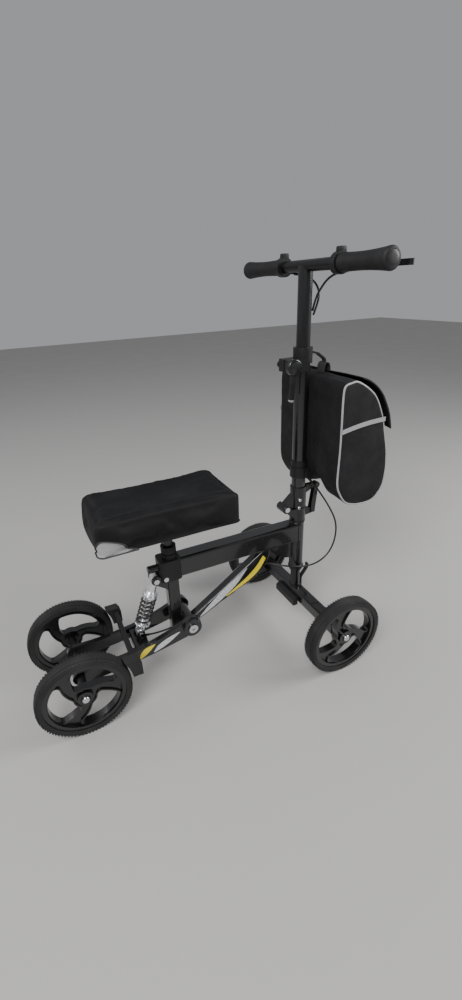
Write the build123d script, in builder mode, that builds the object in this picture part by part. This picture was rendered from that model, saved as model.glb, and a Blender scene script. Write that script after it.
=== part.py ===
from build123d import *

import os
from math import cos, radians, sin, sqrt

# Knee scooter. +X runs forward, +Y to the rider's left and +Z up. The origin is on the floor,
# under the middle of the scooter's length and width. All sizes are in millimetres.

os.makedirs("parts", exist_ok=True)

# ---- overall sizes -----------------------------------------------------------------------------
wheel_radius = 100
wheelbase = 587
bag_reach = 180  # steering axis to the front of the bag
rear_track = 190  # between the middles of the rear wheels
front_track = 410
bar_height = 893
bar_length = 474
pad_length = 320
pad_width = 174

# ---- places that everything else is laid out from ----------------------------------------------
rear_x = -(wheelbase + bag_reach - wheel_radius) / 2
head_x = rear_x + wheelbase
axle_z = wheel_radius
seat_x = rear_x + 241
pivot_x, pivot_z = rear_x + 264, 138
beam_top, beam_height, beam_width = 313, 50, 40
beam_bottom = beam_top - beam_height
fold_x, fold_z = head_x - 41, 361

# ---- fits --------------------------------------------------------------------------------------
running = 0.05  # radial clearance of a shaft that turns or slides in its hole
open_pivot = 0.35  # radial clearance of the pivot where the shock's linkage is left open
side_gap = 0.5  # between faces that turn past each other


def side_plane(y, x=0, z=0):
    """A sketch plane that faces the rider's right, at Y = y, with X across it and Z up it."""
    return Plane(origin=(x, y, z), x_dir=(1, 0, 0), z_dir=(0, -1, 0))


def level_plane(z, x=0, y=0):
    return Plane(origin=(x, y, z), x_dir=(1, 0, 0), z_dir=(0, 0, 1))


def keep(piece, name):
    piece.label = name
    export_step(piece, f"parts/{name}.step")


# ---- wheels: moulded rim, solid tyre and two ball bearings each ---------------------------------
tyre_width = 30
tyre_groove = 1.6
rim_radius = 86
rim_ring = 9.5
rim_width = 25
hub_radius = 17
hub_half = 13
web_half = 5.5
rib_half = 9
rib_wall = 3
opening_radius = 74
core_radius = 25
opening_corner = 8
spoke_leading = ((18, 95), (40, 50), (90, 9))  # radius, and degrees from the spoke's rim end
spoke_trailing = ((90, -9), (42, 14), (18, 40))
bearing_radius = 11
bearing_width = 7
axle_radius = 4


def moved_arc(points, turn, shift):
    """Three points of an arc, turned about the hub, with the arc's radius grown by shift."""
    at = [Vector(r * cos(radians(t + turn)), r * sin(radians(t + turn))) for r, t in points]
    arc = Edge.make_three_point_arc(*at)
    return [arc.arc_center + (p - arc.arc_center) * (1 + shift / arc.radius) for p in at]


def rim_openings(first_spoke, grow):
    """The three openings between the swept spokes, each grown by grow all round."""
    with BuildSketch() as openings:
        Circle(opening_radius + grow)
        Circle(core_radius - grow, mode=Mode.SUBTRACT)
        for k in range(3):
            leading = moved_arc(spoke_leading, first_spoke + 120 * k, -grow)
            trailing = moved_arc(spoke_trailing, first_spoke + 120 * k, grow)
            with BuildLine():
                ThreePointArc(*leading)
                Line(leading[-1], trailing[0])
                ThreePointArc(*trailing)
                Line(trailing[-1], leading[0])
            make_face(mode=Mode.SUBTRACT)
        fillet(openings.vertices(), opening_corner + grow)
    return openings.sketch


def make_wheel(name, x, y, first_spoke):
    face = side_plane(y, x, axle_z)
    openings = rim_openings(first_spoke, 0)
    with BuildPart() as rim:
        with BuildSketch(face):
            Circle(rim_radius)
            Circle(rim_radius - rim_ring, mode=Mode.SUBTRACT)
        extrude(amount=rim_width / 2, both=True)
        with BuildSketch(face):
            Circle(rim_radius - 1)
            add(openings, mode=Mode.SUBTRACT)
        extrude(amount=web_half, both=True)
        with BuildSketch(face):
            add(rim_openings(first_spoke, rib_wall))
            add(openings, mode=Mode.SUBTRACT)
        extrude(amount=rib_half, both=True)
        with BuildSketch(face):
            Circle(hub_radius)
        extrude(amount=hub_half, both=True)
        with BuildSketch(face):
            Circle(bearing_radius - 2)
        extrude(amount=hub_half, both=True, mode=Mode.SUBTRACT)
        for end in (1, -1):
            with BuildSketch(face.offset(end * (hub_half - bearing_width / 2))):
                Circle(bearing_radius)
            extrude(amount=bearing_width / 2, both=True, mode=Mode.SUBTRACT)
    keep(rim.part, f"rim_{name}")

    with BuildPart() as tyre:
        with BuildSketch(Plane(origin=(x, y, axle_z), x_dir=(0, 1, 0), z_dir=(1, 0, 0))):
            half = tyre_width / 2
            with BuildLine():
                Polyline((-half, rim_radius), (half, rim_radius), (half, wheel_radius - 6))
                ThreePointArc(
                    (half, wheel_radius - 6), (half - 1.8, wheel_radius - 2.6), (half - 6, wheel_radius - 0.8)
                )
                ThreePointArc(
                    (half - 6, wheel_radius - 0.8), (0, wheel_radius), (6 - half, wheel_radius - 0.8)
                )
                ThreePointArc(
                    (6 - half, wheel_radius - 0.8), (1.8 - half, wheel_radius - 2.6), (-half, wheel_radius - 6)
                )
                Line((-half, wheel_radius - 6), (-half, rim_radius))
            make_face()
            with Locations((half - 5, wheel_radius), (5 - half, wheel_radius)):
                Rectangle(tyre_groove, 2 * tyre_groove + 1.2, mode=Mode.SUBTRACT)
        revolve(axis=Axis((x, y, axle_z), (0, 1, 0)))
    keep(tyre.part, f"tyre_{name}")

    with BuildPart() as bearings:
        for end in (1, -1):
            with BuildSketch(face.offset(end * (hub_half - bearing_width / 2))):
                Circle(bearing_radius)
                Circle(axle_radius + running, mode=Mode.SUBTRACT)
            extrude(amount=bearing_width / 2, both=True)
    keep(bearings.part, f"bearings_{name}")


for side_name, side in (("left", 1), ("right", -1)):
    make_wheel(f"rear_{side_name}", rear_x, side * rear_track / 2, -15)
    make_wheel(f"front_{side_name}", head_x, side * front_track / 2, -40)

# ---- frame tubes -------------------------------------------------------------------------------
tube_wall = 2.5
seat_tube_size = 28
seat_tube_foot = 100
seat_tube_top = 314
seat_front = seat_x + seat_tube_size / 2
seat_rear = seat_x - seat_tube_size / 2
post_radius = 11.1
head_tube_radius, head_tube_bore = 18, 16
head_tube_foot, head_tube_top = 181, 315
barrel_radius = 16
pivot_radius = 8
barrel_half = 35
down_width = 25

with BuildPart() as head_tube:
    with BuildSketch(level_plane(head_tube_foot, head_x)):
        Circle(head_tube_radius)
        Circle(head_tube_bore, mode=Mode.SUBTRACT)
    extrude(amount=head_tube_top - head_tube_foot)
keep(head_tube.part, "head_tube")

with BuildPart() as seat_tube:
    with BuildSketch(level_plane(seat_tube_foot, seat_x)):
        RectangleRounded(seat_tube_size, seat_tube_size, 4)
        Circle(post_radius + running, mode=Mode.SUBTRACT)
    extrude(amount=seat_tube_top - seat_tube_foot)
keep(seat_tube.part, "seat_tube")

# The beam is a hollow box from seat tube to head tube, with a gusset plate welded under its nose.
gusset_depth = 52
gusset_length = 86
gusset_half = 4
with BuildPart() as main_beam:
    with BuildSketch(Plane(origin=(seat_front, 0, beam_top - beam_height / 2), x_dir=(0, 1, 0), z_dir=(1, 0, 0))):
        RectangleRounded(beam_width, beam_height, 6)
        RectangleRounded(beam_width - 2 * tube_wall, beam_height - 2 * tube_wall, 4, mode=Mode.SUBTRACT)
    extrude(amount=head_x - seat_front)
    with BuildSketch(side_plane(0)):
        with BuildLine():
            Line((head_x, beam_bottom), (head_x, beam_bottom - gusset_depth))
            Line((head_x, beam_bottom - gusset_depth), (head_x - 26, beam_bottom - gusset_depth))
            ThreePointArc(
                (head_x - 26, beam_bottom - gusset_depth),
                (head_x - 52, beam_bottom - 40),
                (head_x - gusset_length, beam_bottom - 6),
            )
            Line((head_x - gusset_length, beam_bottom - 6), (head_x - gusset_length, beam_bottom))
            Line((head_x - gusset_length, beam_bottom), (head_x, beam_bottom))
        make_face()
    extrude(amount=gusset_half, both=True)
    with BuildSketch(level_plane(head_tube_foot, head_x)):
        Circle(head_tube_radius)
    extrude(amount=head_tube_top, mode=Mode.SUBTRACT)
keep(main_beam.part, "main_beam")

# The down tube is a swept-up box that carries the pivot barrel in the corner above its foot.
down_top_x = rear_x + 482
down_front_x = head_x - gusset_length - side_gap
with BuildPart() as down_tube:
    with BuildSketch(side_plane(0)):
        with BuildLine():
            ThreePointArc((seat_front, 98), (rear_x + 345, 139), (rear_x + 446, 184))
            ThreePointArc((rear_x + 446, 184), (rear_x + 484, 212), (down_front_x, beam_bottom))
            Line((down_front_x, beam_bottom), (down_top_x, beam_bottom))
            ThreePointArc((down_top_x, beam_bottom), (rear_x + 397, 205), (rear_x + 268, 122))
            Line((rear_x + 268, 122), (seat_front, 116))
            Line((seat_front, 116), (seat_front, 98))
        make_face()
    extrude(amount=down_width / 2, both=True)
    fillet(down_tube.edges().filter_by(Axis.Y, reverse=True), 4)
    with BuildSketch(side_plane(0, pivot_x, pivot_z)):
        Circle(barrel_radius)
    extrude(amount=barrel_half, both=True)
    with BuildSketch(side_plane(0, pivot_x, pivot_z)):
        Circle(pivot_radius)
    extrude(amount=barrel_half, both=True, mode=Mode.SUBTRACT)
    add(seat_tube.part, mode=Mode.SUBTRACT)
    with BuildSketch(level_plane(seat_tube_foot, seat_x)):
        Circle(post_radius + 1)
    extrude(amount=seat_tube_top - seat_tube_foot, mode=Mode.SUBTRACT)
keep(down_tube.part, "down_tube")

# A moulded cover wraps the joint of beam and seat tube.
cover_wall = 3
cover_rear = seat_rear - 15
cover_front = seat_front + 8
with BuildPart() as junction_cover:
    with BuildSketch(level_plane(beam_bottom - 1)):
        with Locations(((cover_rear + cover_front) / 2, 0)):
            RectangleRounded(cover_front - cover_rear, beam_width + 2 * cover_wall, 9)
    extrude(amount=beam_height + 2)
    add(seat_tube.part, mode=Mode.SUBTRACT)
    with BuildSketch(level_plane(0, seat_x)):
        Rectangle(seat_tube_size - 2, seat_tube_size - 2)
    extrude(amount=beam_top + 20, mode=Mode.SUBTRACT)
    with BuildSketch(Plane(origin=(seat_front, 0, beam_top - beam_height / 2), x_dir=(0, 1, 0), z_dir=(1, 0, 0))):
        Rectangle(beam_width, beam_height)
    extrude(amount=cover_front - seat_front, mode=Mode.SUBTRACT)
    cover_bolt_x, cover_bolt_z = seat_x - 16 - 3, beam_bottom + 9
    with BuildSketch(side_plane(0, cover_bolt_x, cover_bolt_z)):
        Circle(3)
    extrude(amount=beam_width, both=True, mode=Mode.SUBTRACT)
    knob_z = beam_top - 20
    with BuildSketch(Plane(origin=(cover_rear, 0, knob_z), z_dir=(1, 0, 0))):
        Circle(4 + running)
    extrude(amount=seat_rear - cover_rear, mode=Mode.SUBTRACT)
keep(junction_cover.part, "junction_cover")

# ---- headset -----------------------------------------------------------------------------------
steerer_radius = 12.7
cup_radius, cup_flange, cup_depth = 20, 6, 12
with BuildPart() as headset_cups:
    for mouth, way in ((head_tube_top, 1), (head_tube_foot, -1)):
        with BuildSketch(level_plane(mouth, head_x)):
            Circle(cup_radius)
            Circle(steerer_radius + running, mode=Mode.SUBTRACT)
        extrude(amount=way * cup_flange)
        with BuildSketch(level_plane(mouth, head_x)):
            Circle(head_tube_bore)
            Circle(steerer_radius + running, mode=Mode.SUBTRACT)
        extrude(amount=-way * cup_depth)
keep(headset_cups.part, "headset_cups")

# ---- shock absorber: two eyes, with the body above and the rod below ----------------------------
eye_top = (rear_x + 201, 268)
eye_foot = (rear_x + 150, 132)
shock_length = sqrt((eye_top[0] - eye_foot[0]) ** 2 + (eye_top[1] - eye_foot[1]) ** 2)
eye_radius, eye_half = 10, 10
pin_radius = 4
ear_inner, ear_outer = 11, 15
shock_plane = Plane(
    origin=(eye_top[0], 0, eye_top[1]),
    x_dir=(0, 1, 0),
    z_dir=(eye_foot[0] - eye_top[0], 0, eye_foot[1] - eye_top[1]),
)
shock_tube_radius, shock_tube_end = 9, 92
rod_radius, rod_top = 4.5, 74
collar_from, spring_from, spring_to = 36, 48, 118
spring_radius, spring_wire, spring_turns = 15.5, 2.4, 6
seat_disc = 5


def shock_disc(start, end, radius):
    """A round step of the shock, between two distances from its top eye."""
    with BuildPart() as disc:
        with BuildSketch(shock_plane.offset(start)):
            Circle(radius)
        extrude(amount=end - start)
    return disc.part


def cross_disc(half, at, radius):
    """A disc or a hole that lies across the scooter, half to each side of its middle."""
    with BuildPart() as disc:
        with BuildSketch(side_plane(0, *at)):
            Circle(radius)
        extrude(amount=half, both=True)
    return disc.part


with BuildPart() as shock_body:
    add(shock_disc(6, collar_from, ear_inner - side_gap))
    add(shock_disc(collar_from, collar_from + 4, 16))
    add(shock_disc(collar_from + 4, collar_from + 7, 13.5))
    add(shock_disc(collar_from + 7, spring_from, 18))
    add(shock_disc(spring_from, shock_tube_end, shock_tube_radius))
    add(shock_disc(rod_top - 16, shock_tube_end, rod_radius + running), mode=Mode.SUBTRACT)
    add(cross_disc(eye_half, eye_top, eye_radius))
    add(cross_disc(eye_half, eye_top, pin_radius + running), mode=Mode.SUBTRACT)
keep(shock_body.part, "shock_body")

with BuildPart() as shock_rod:
    add(shock_disc(rod_top, spring_to + seat_disc, rod_radius))
    add(shock_disc(spring_to, spring_to + seat_disc, 18))
    add(shock_disc(spring_to + seat_disc, shock_length - 6, 9))
    add(cross_disc(eye_half, eye_foot, eye_radius))
    add(cross_disc(eye_half, eye_foot, pin_radius + open_pivot), mode=Mode.SUBTRACT)
keep(shock_rod.part, "shock_rod")

coil_room = spring_to - spring_from - 2 * spring_wire - 0.4
with BuildPart() as shock_spring:
    coil_start = shock_plane.offset(spring_from + spring_wire + 0.2)
    with BuildLine() as coil:
        Helix(coil_room / spring_turns, coil_room, spring_radius, coil_start.origin, coil_start.z_dir)
    with BuildSketch(Plane(origin=coil.line @ 0, z_dir=coil.line % 0)):
        Circle(spring_wire)
    sweep(path=coil.line, is_frenet=True)
keep(shock_spring.part, "shock_spring")

with BuildPart() as shock_bracket:
    for ear in (1, -1):
        with BuildSketch(side_plane(ear * (ear_inner + ear_outer) / 2)):
            with BuildLine():
                Polyline((seat_rear, beam_bottom - 27), (seat_rear, beam_bottom - 1.5))
                Line((seat_rear, beam_bottom - 1.5), (eye_top[0] + 8, eye_top[1] + 7.5))
                ThreePointArc(
                    (eye_top[0] + 8, eye_top[1] + 7.5), (eye_top[0] - 10.9, eye_top[1] + 1), (eye_top[0] - 3, eye_top[1] - 10.5)
                )
                Line((eye_top[0] - 3, eye_top[1] - 10.5), (seat_rear, beam_bottom - 27))
            make_face()
        extrude(amount=(ear_outer - ear_inner) / 2, both=True)
        with BuildSketch(side_plane(0, *eye_top)):
            Circle(pin_radius)
        extrude(amount=ear_outer, both=True, mode=Mode.SUBTRACT)
    with BuildSketch(Plane(origin=(seat_rear, 0, beam_bottom - 14.25), x_dir=(0, 1, 0), z_dir=(-1, 0, 0))):
        Rectangle(2 * ear_outer, 25.5)
    extrude(amount=4)
    add(junction_cover.part, mode=Mode.SUBTRACT)
keep(shock_bracket.part, "shock_bracket")

with BuildPart() as frame_bolts:
    with BuildSketch(side_plane(0, *eye_top)):
        Circle(pin_radius)
    extrude(amount=ear_outer, both=True)
    for end in (1, -1):
        with BuildSketch(side_plane(end * ear_outer, *eye_top)):
            Circle(7) if end > 0 else RegularPolygon(7, 6)
        extrude(amount=-end * 5)
        with BuildSketch(side_plane(end * (beam_width / 2 + cover_wall), cover_bolt_x, cover_bolt_z)):
            Circle(5.5)
        extrude(amount=-end * 4)
        with BuildSketch(side_plane(end * (beam_width / 2 + cover_wall), cover_bolt_x, cover_bolt_z)):
            Circle(3)
        extrude(amount=end * 8)
keep(frame_bolts.part, "frame_bolts")

# ---- swing arm: two flat rails, a cross block for the shock, and the rear axle -------------------
rail_inner, rail_outer = 36, 48
rail_mid = (rail_inner + rail_outer) / 2
rail_eye = 24
boss_outer, boss_radius = 57, 22
with BuildPart() as swing_rails:
    for side in (1, -1):
        with BuildSketch(side_plane(side * rail_mid)):
            with BuildLine():
                ThreePointArc(
                    (rear_x, axle_z + 17), (rear_x + 131, axle_z + 20), (pivot_x, pivot_z + rail_eye)
                )
                ThreePointArc(
                    (pivot_x, pivot_z + rail_eye), (pivot_x + rail_eye, pivot_z), (pivot_x, pivot_z - rail_eye)
                )
                ThreePointArc(
                    (pivot_x, pivot_z - rail_eye), (rear_x + 131, axle_z - 9), (rear_x, axle_z - 17)
                )
                ThreePointArc((rear_x, axle_z - 17), (rear_x - 17, axle_z), (rear_x, axle_z + 17))
            make_face()
        extrude(amount=(rail_outer - rail_inner) / 2, both=True)
        with BuildSketch(side_plane(side * rail_outer, pivot_x, pivot_z)):
            Circle(boss_radius)
        extrude(amount=-side * (boss_outer - rail_outer))
    with BuildSketch(side_plane(0, pivot_x, pivot_z)):
        Circle(pivot_radius + running)
    extrude(amount=boss_outer, both=True, mode=Mode.SUBTRACT)
    with BuildSketch(side_plane(0, rear_x, axle_z)):
        Circle(axle_radius)
    extrude(amount=boss_outer, both=True, mode=Mode.SUBTRACT)
keep(swing_rails.part, "swing_rails")

with BuildPart() as pivot_bolt:
    with BuildSketch(side_plane(0, pivot_x, pivot_z)):
        Circle(pivot_radius)
    extrude(amount=boss_outer + side_gap, both=True)
    for end in (1, -1):
        with BuildSketch(side_plane(end * (boss_outer + side_gap), pivot_x, pivot_z)):
            Circle(11)
        extrude(amount=-end * 3.5)
        with BuildSketch(side_plane(end * (boss_outer + side_gap + 3.5), pivot_x, pivot_z)):
            RegularPolygon(4.6, 6)
        extrude(amount=end * 3, mode=Mode.SUBTRACT)
keep(pivot_bolt.part, "pivot_bolt")

block_rear, block_front = eye_foot[0] - 22, eye_foot[0] + 12
block_foot, block_top = 92, eye_foot[1] - 14
brake_pivot = (rear_x + 119, 106)
lug_inner, lug_outer = 26, 30
with BuildPart() as shock_mount:
    with BuildSketch(side_plane(0)):
        with Locations(((block_rear + block_front) / 2, (block_foot + block_top) / 2)):
            RectangleRounded(block_front - block_rear, block_top - block_foot, 3)
    extrude(amount=rail_inner, both=True)
    for ear in (1, -1):
        with BuildSketch(side_plane(ear * (ear_inner + ear_outer) / 2)):
            with BuildLine():
                Polyline((eye_foot[0] - 14, block_top - 1), (eye_foot[0] + 12, block_top - 1))
                Line((eye_foot[0] + 12, block_top - 1), (eye_foot[0] + 9, eye_foot[1]))
                ThreePointArc((eye_foot[0] + 9, eye_foot[1]), (eye_foot[0], eye_foot[1] + 9), (eye_foot[0] - 9, eye_foot[1]))
                Line((eye_foot[0] - 9, eye_foot[1]), (eye_foot[0] - 14, block_top - 1))
            make_face()
        extrude(amount=(ear_outer - ear_inner) / 2, both=True)
        with BuildSketch(side_plane(ear * (lug_inner + lug_outer) / 2)):
            with BuildLine():
                Line((block_rear + 2, brake_pivot[1] + 7), (brake_pivot[0], brake_pivot[1] + 7))
                ThreePointArc(
                    (brake_pivot[0], brake_pivot[1] + 7),
                    (brake_pivot[0] - 7, brake_pivot[1]),
                    (brake_pivot[0], brake_pivot[1] - 7),
                )
                Line((brake_pivot[0], brake_pivot[1] - 7), (block_rear + 2, brake_pivot[1] - 7))
                Line((block_rear + 2, brake_pivot[1] - 7), (block_rear + 2, brake_pivot[1] + 7))
            make_face()
        extrude(amount=(lug_outer - lug_inner) / 2, both=True)
    with BuildSketch(side_plane(0, *eye_foot)):
        Circle(pin_radius)
    extrude(amount=ear_outer, both=True, mode=Mode.SUBTRACT)
    with BuildSketch(side_plane(0, *brake_pivot)):
        Circle(3 + running)
    extrude(amount=lug_outer, both=True, mode=Mode.SUBTRACT)
keep(shock_mount.part, "shock_mount")

with BuildPart() as shock_pin:
    with BuildSketch(side_plane(0, *eye_foot)):
        Circle(pin_radius)
    extrude(amount=ear_outer, both=True)
    for end in (1, -1):
        with BuildSketch(side_plane(end * ear_outer, *eye_foot)):
            Circle(7) if end < 0 else RegularPolygon(7, 6)
        extrude(amount=-end * 4.5)
keep(shock_pin.part, "shock_pin")

nut_length = 5.5
spacer_radius = 9


def axle_ends(x, y_from, y_hub, side):
    """A spacer from the frame to the hub, and a domed nut outside the hub."""
    nut_y = y_hub + hub_half + side_gap
    with BuildPart() as ends:
        with BuildSketch(Plane(origin=(x, side * nut_y, axle_z), x_dir=(1, 0, 0), z_dir=(0, side, 0))):
            Circle(8)
        extrude(amount=nut_length)
        fillet(ends.faces().sort_by(Axis.Y)[-1 if side > 0 else 0].edges(), 3.5)
        with BuildSketch(side_plane(side * y_from, x, axle_z)):
            Circle(spacer_radius)
        extrude(amount=-side * (y_hub - hub_half - side_gap - y_from))
    return ends.part


with BuildPart() as rear_axle:
    with BuildSketch(side_plane(0, rear_x, axle_z)):
        Circle(axle_radius)
    extrude(amount=rear_track / 2 + hub_half + 1, both=True)
    for side in (1, -1):
        add(axle_ends(rear_x, rail_outer, rear_track / 2, side))
keep(rear_axle.part, "rear_axle")

# ---- brake: a cross bar on two arms, with a rubber shoe in front of each rear tyre ---------------
shoe_gap = 4
shoe_foot, shoe_top = 108, 152
shoe_front = rear_x + 126
shoe_half = 11
shoe_pivot_reach = 33
bar_rear, bar_front = rear_x + 107, rear_x + 118
bar_foot, bar_top = 131, 147
with BuildPart() as brake_bar:
    with BuildSketch(side_plane(0)):
        with Locations(((bar_rear + bar_front) / 2, (bar_foot + bar_top) / 2)):
            RectangleRounded(bar_front - bar_rear, bar_top - bar_foot, 2)
    extrude(amount=rear_track / 2 + shoe_half - 3, both=True)
    for arm in (1, -1):
        with BuildSketch(side_plane(arm * (lug_inner - side_gap - 2.5))):
            with BuildLine():
                Line((bar_front, bar_foot + 3), (brake_pivot[0] + 6, brake_pivot[1]))
                ThreePointArc(
                    (brake_pivot[0] + 6, brake_pivot[1]),
                    (brake_pivot[0], brake_pivot[1] - 6),
                    (brake_pivot[0] - 6, brake_pivot[1]),
                )
                Line((brake_pivot[0] - 6, brake_pivot[1]), (bar_rear, bar_foot + 3))
                Line((bar_rear, bar_foot + 3), (bar_front, bar_foot + 3))
            make_face()
        extrude(amount=2.5, both=True)
        with BuildSketch(side_plane(arm * (lug_inner - 6), *brake_pivot)):
            Circle(3)
        extrude(amount=-arm * (lug_outer + 1 - (lug_inner - 6)))
keep(brake_bar.part, "brake_bar")

with BuildPart() as brake_shoes:
    for side in (1, -1):
        with BuildSketch(side_plane(side * rear_track / 2)):
            with BuildLine():
                tread = wheel_radius + shoe_gap
                foot_x = rear_x + sqrt(tread**2 - (shoe_foot - axle_z) ** 2)
                top_x = rear_x + sqrt(tread**2 - (shoe_top - axle_z) ** 2)
                mid_z = (shoe_foot + shoe_top) / 2
                mid_x = rear_x + sqrt(tread**2 - (mid_z - axle_z) ** 2)
                ThreePointArc((foot_x, shoe_foot), (mid_x, mid_z), (top_x, shoe_top))
                Line((top_x, shoe_top), (shoe_front - 7, shoe_top))
                Line((shoe_front - 7, shoe_top), (shoe_front, shoe_top - 12))
                Line((shoe_front, shoe_top - 12), (shoe_front, shoe_foot))
                Line((shoe_front, shoe_foot), (foot_x, shoe_foot))
            make_face()
        extrude(amount=shoe_half, both=True)
    add(brake_bar.part, mode=Mode.SUBTRACT)
keep(brake_shoes.part, "brake_shoes")

# ---- seat: clamp collar, post, plate and pad -----------------------------------------------------
collar_top = 345
collar_radius = 17.5
pad_front = rear_x + 395
pad_rear = pad_front - pad_length
pad_foot, pad_edge, pad_valley = 398, 478, 468
plate_thickness = 4
post_foot = 190

with BuildPart() as seat_collar:
    with BuildSketch(level_plane(seat_tube_top, seat_x)):
        Circle(collar_radius)
    extrude(amount=collar_top - seat_tube_top)
    with BuildSketch(level_plane(seat_tube_top + 12, seat_x)):
        Circle(collar_radius + 5)
        Circle(collar_radius - 2.2, mode=Mode.SUBTRACT)
    extrude(amount=3, mode=Mode.SUBTRACT)
    with BuildSketch(level_plane(seat_tube_top, seat_x)):
        Circle(post_radius + running)
    extrude(amount=collar_top - seat_tube_top, mode=Mode.SUBTRACT)
keep(seat_collar.part, "seat_collar")

with BuildPart() as seat_post:
    with BuildSketch(level_plane(post_foot, seat_x)):
        Circle(post_radius)
        Circle(post_radius - 2, mode=Mode.SUBTRACT)
    extrude(amount=pad_foot - plate_thickness - post_foot)
keep(seat_post.part, "seat_post")

with BuildPart() as seat_plate:
    with BuildSketch(level_plane(pad_foot - plate_thickness, (pad_front + pad_rear) / 2)):
        RectangleRounded(pad_length * 0.62, pad_width * 0.55, 14)
    extrude(amount=plate_thickness)
    with BuildSketch(level_plane(pad_foot - plate_thickness, seat_x)):
        Circle(post_radius + 4)
        Circle(post_radius, mode=Mode.SUBTRACT)
    extrude(amount=-18)
keep(seat_plate.part, "seat_plate")

with BuildPart() as seat_pad:
    with BuildSketch(Plane(origin=(pad_rear, 0, 0), x_dir=(0, 1, 0), z_dir=(1, 0, 0))):
        half = pad_width / 2
        with BuildLine():
            Polyline((half, pad_edge), (half, pad_foot), (-half, pad_foot), (-half, pad_edge))
            ThreePointArc((-half, pad_edge), (0, pad_valley), (half, pad_edge))
        make_face()
    extrude(amount=pad_length)
    fillet(seat_pad.edges().filter_by(Axis.Z), 16)
keep(seat_pad.part, "seat_pad")

# The height knob is a sprung plunger; its tip stops just short of the seat post.
knob_travel = 8
knob_radius = 9
knob_front = cover_rear - 1
knob_rear = knob_front - 24
with BuildPart() as seat_knob:
    with BuildSketch(Plane(origin=(knob_rear, 0, knob_z), z_dir=(1, 0, 0))):
        Circle(knob_radius)
    extrude(amount=knob_front - knob_rear)
    fillet(seat_knob.faces().sort_by(Axis.X)[0].edges(), 3)
    with BuildSketch(Plane(origin=(knob_front, 0, knob_z), z_dir=(1, 0, 0))):
        Circle(4)
    extrude(amount=seat_rear - 0.4 - knob_front)
keep(seat_knob.part, "seat_height_knob")

# ---- steerer, front axle beam and its brackets ---------------------------------------------------
axle_beam_size = 30
race_radius = 17
hinge_foot, hinge_split, hinge_top_z = 321.5, 357, 412
base_radius = 20
beam_end = front_track / 2 - tyre_width / 2 - 8
with BuildPart() as front_axle_beam:
    with BuildSketch(side_plane(0, head_x, axle_z)):
        RectangleRounded(axle_beam_size, axle_beam_size, 4)
        RectangleRounded(axle_beam_size - 2 * tube_wall, axle_beam_size - 2 * tube_wall, 2, mode=Mode.SUBTRACT)
    extrude(amount=beam_end - 4, both=True)
    for side in (1, -1):
        with BuildSketch(side_plane(side * (beam_end - 4), head_x, axle_z)):
            RectangleRounded(axle_beam_size, axle_beam_size, 4)
            Circle(axle_radius, mode=Mode.SUBTRACT)
        extrude(amount=-side * 4)
keep(front_axle_beam.part, "front_axle_beam")

with BuildPart() as front_axles:
    for side in (1, -1):
        with BuildSketch(side_plane(side * (beam_end - 24), head_x, axle_z)):
            Circle(axle_radius)
        extrude(amount=-side * (front_track / 2 + hub_half + 1 - (beam_end - 24)))
        add(axle_ends(head_x, beam_end, front_track / 2, side))
keep(front_axles.part, "front_axles")

with BuildPart() as steerer:
    with BuildSketch(level_plane(axle_z + axle_beam_size / 2, head_x)):
        Circle(steerer_radius)
        Circle(steerer_radius - 2.5, mode=Mode.SUBTRACT)
    extrude(amount=hinge_split - 4 - (axle_z + axle_beam_size / 2))
    race_top = head_tube_foot - cup_flange - side_gap
    with BuildSketch(level_plane(race_top - 6, head_x)):
        Circle(race_radius)
        Circle(steerer_radius, mode=Mode.SUBTRACT)
    extrude(amount=6)
keep(steerer.part, "steerer_tube")

bracket_right, bracket_left = -38, 50
with BuildPart() as axle_bracket:
    with BuildSketch(side_plane(bracket_left)):
        with BuildLine():
            rear_face = head_x - axle_beam_size / 2
            Polyline(
                (rear_face, axle_z - 2),
                (rear_face, axle_z - 24),
                (rear_face - 14, axle_z - 24),
                (rear_face - 14, axle_z - 8),
                (rear_face - 4, axle_z - 2),
                (rear_face, axle_z - 2),
            )
        make_face()
    extrude(amount=bracket_left - bracket_right)
keep(axle_bracket.part, "axle_bracket")

# The cable guide is a bent strap on the front of the axle beam, with an eye beside the steerer.
guide_width = 10
with BuildPart() as cable_guide:
    with BuildSketch(side_plane(0)):
        with BuildLine() as strap:
            front_face = head_x + axle_beam_size / 2 + 2
            Polyline((front_face, axle_z - 12), (front_face, axle_z + 34))
            ThreePointArc(
                (front_face, axle_z + 34), (front_face + 9, axle_z + 46), (front_face + 20, axle_z + 60)
            )
            Line((front_face + 20, axle_z + 60), (front_face + 20, axle_z + 72))
        trace(strap.line, 4)
    extrude(amount=guide_width / 2, both=True)
keep(cable_guide.part, "cable_guide")

# ---- folding hinge -------------------------------------------------------------------------------
knuckle_radius, knuckle_half = 11, 9
fork_inner, fork_outer = 9.5, 16
latch_foot = (head_x + 39, 335)
latch_top = (head_x + 47, 405)
lug_half = 5
latch_half = 7.5


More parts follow.
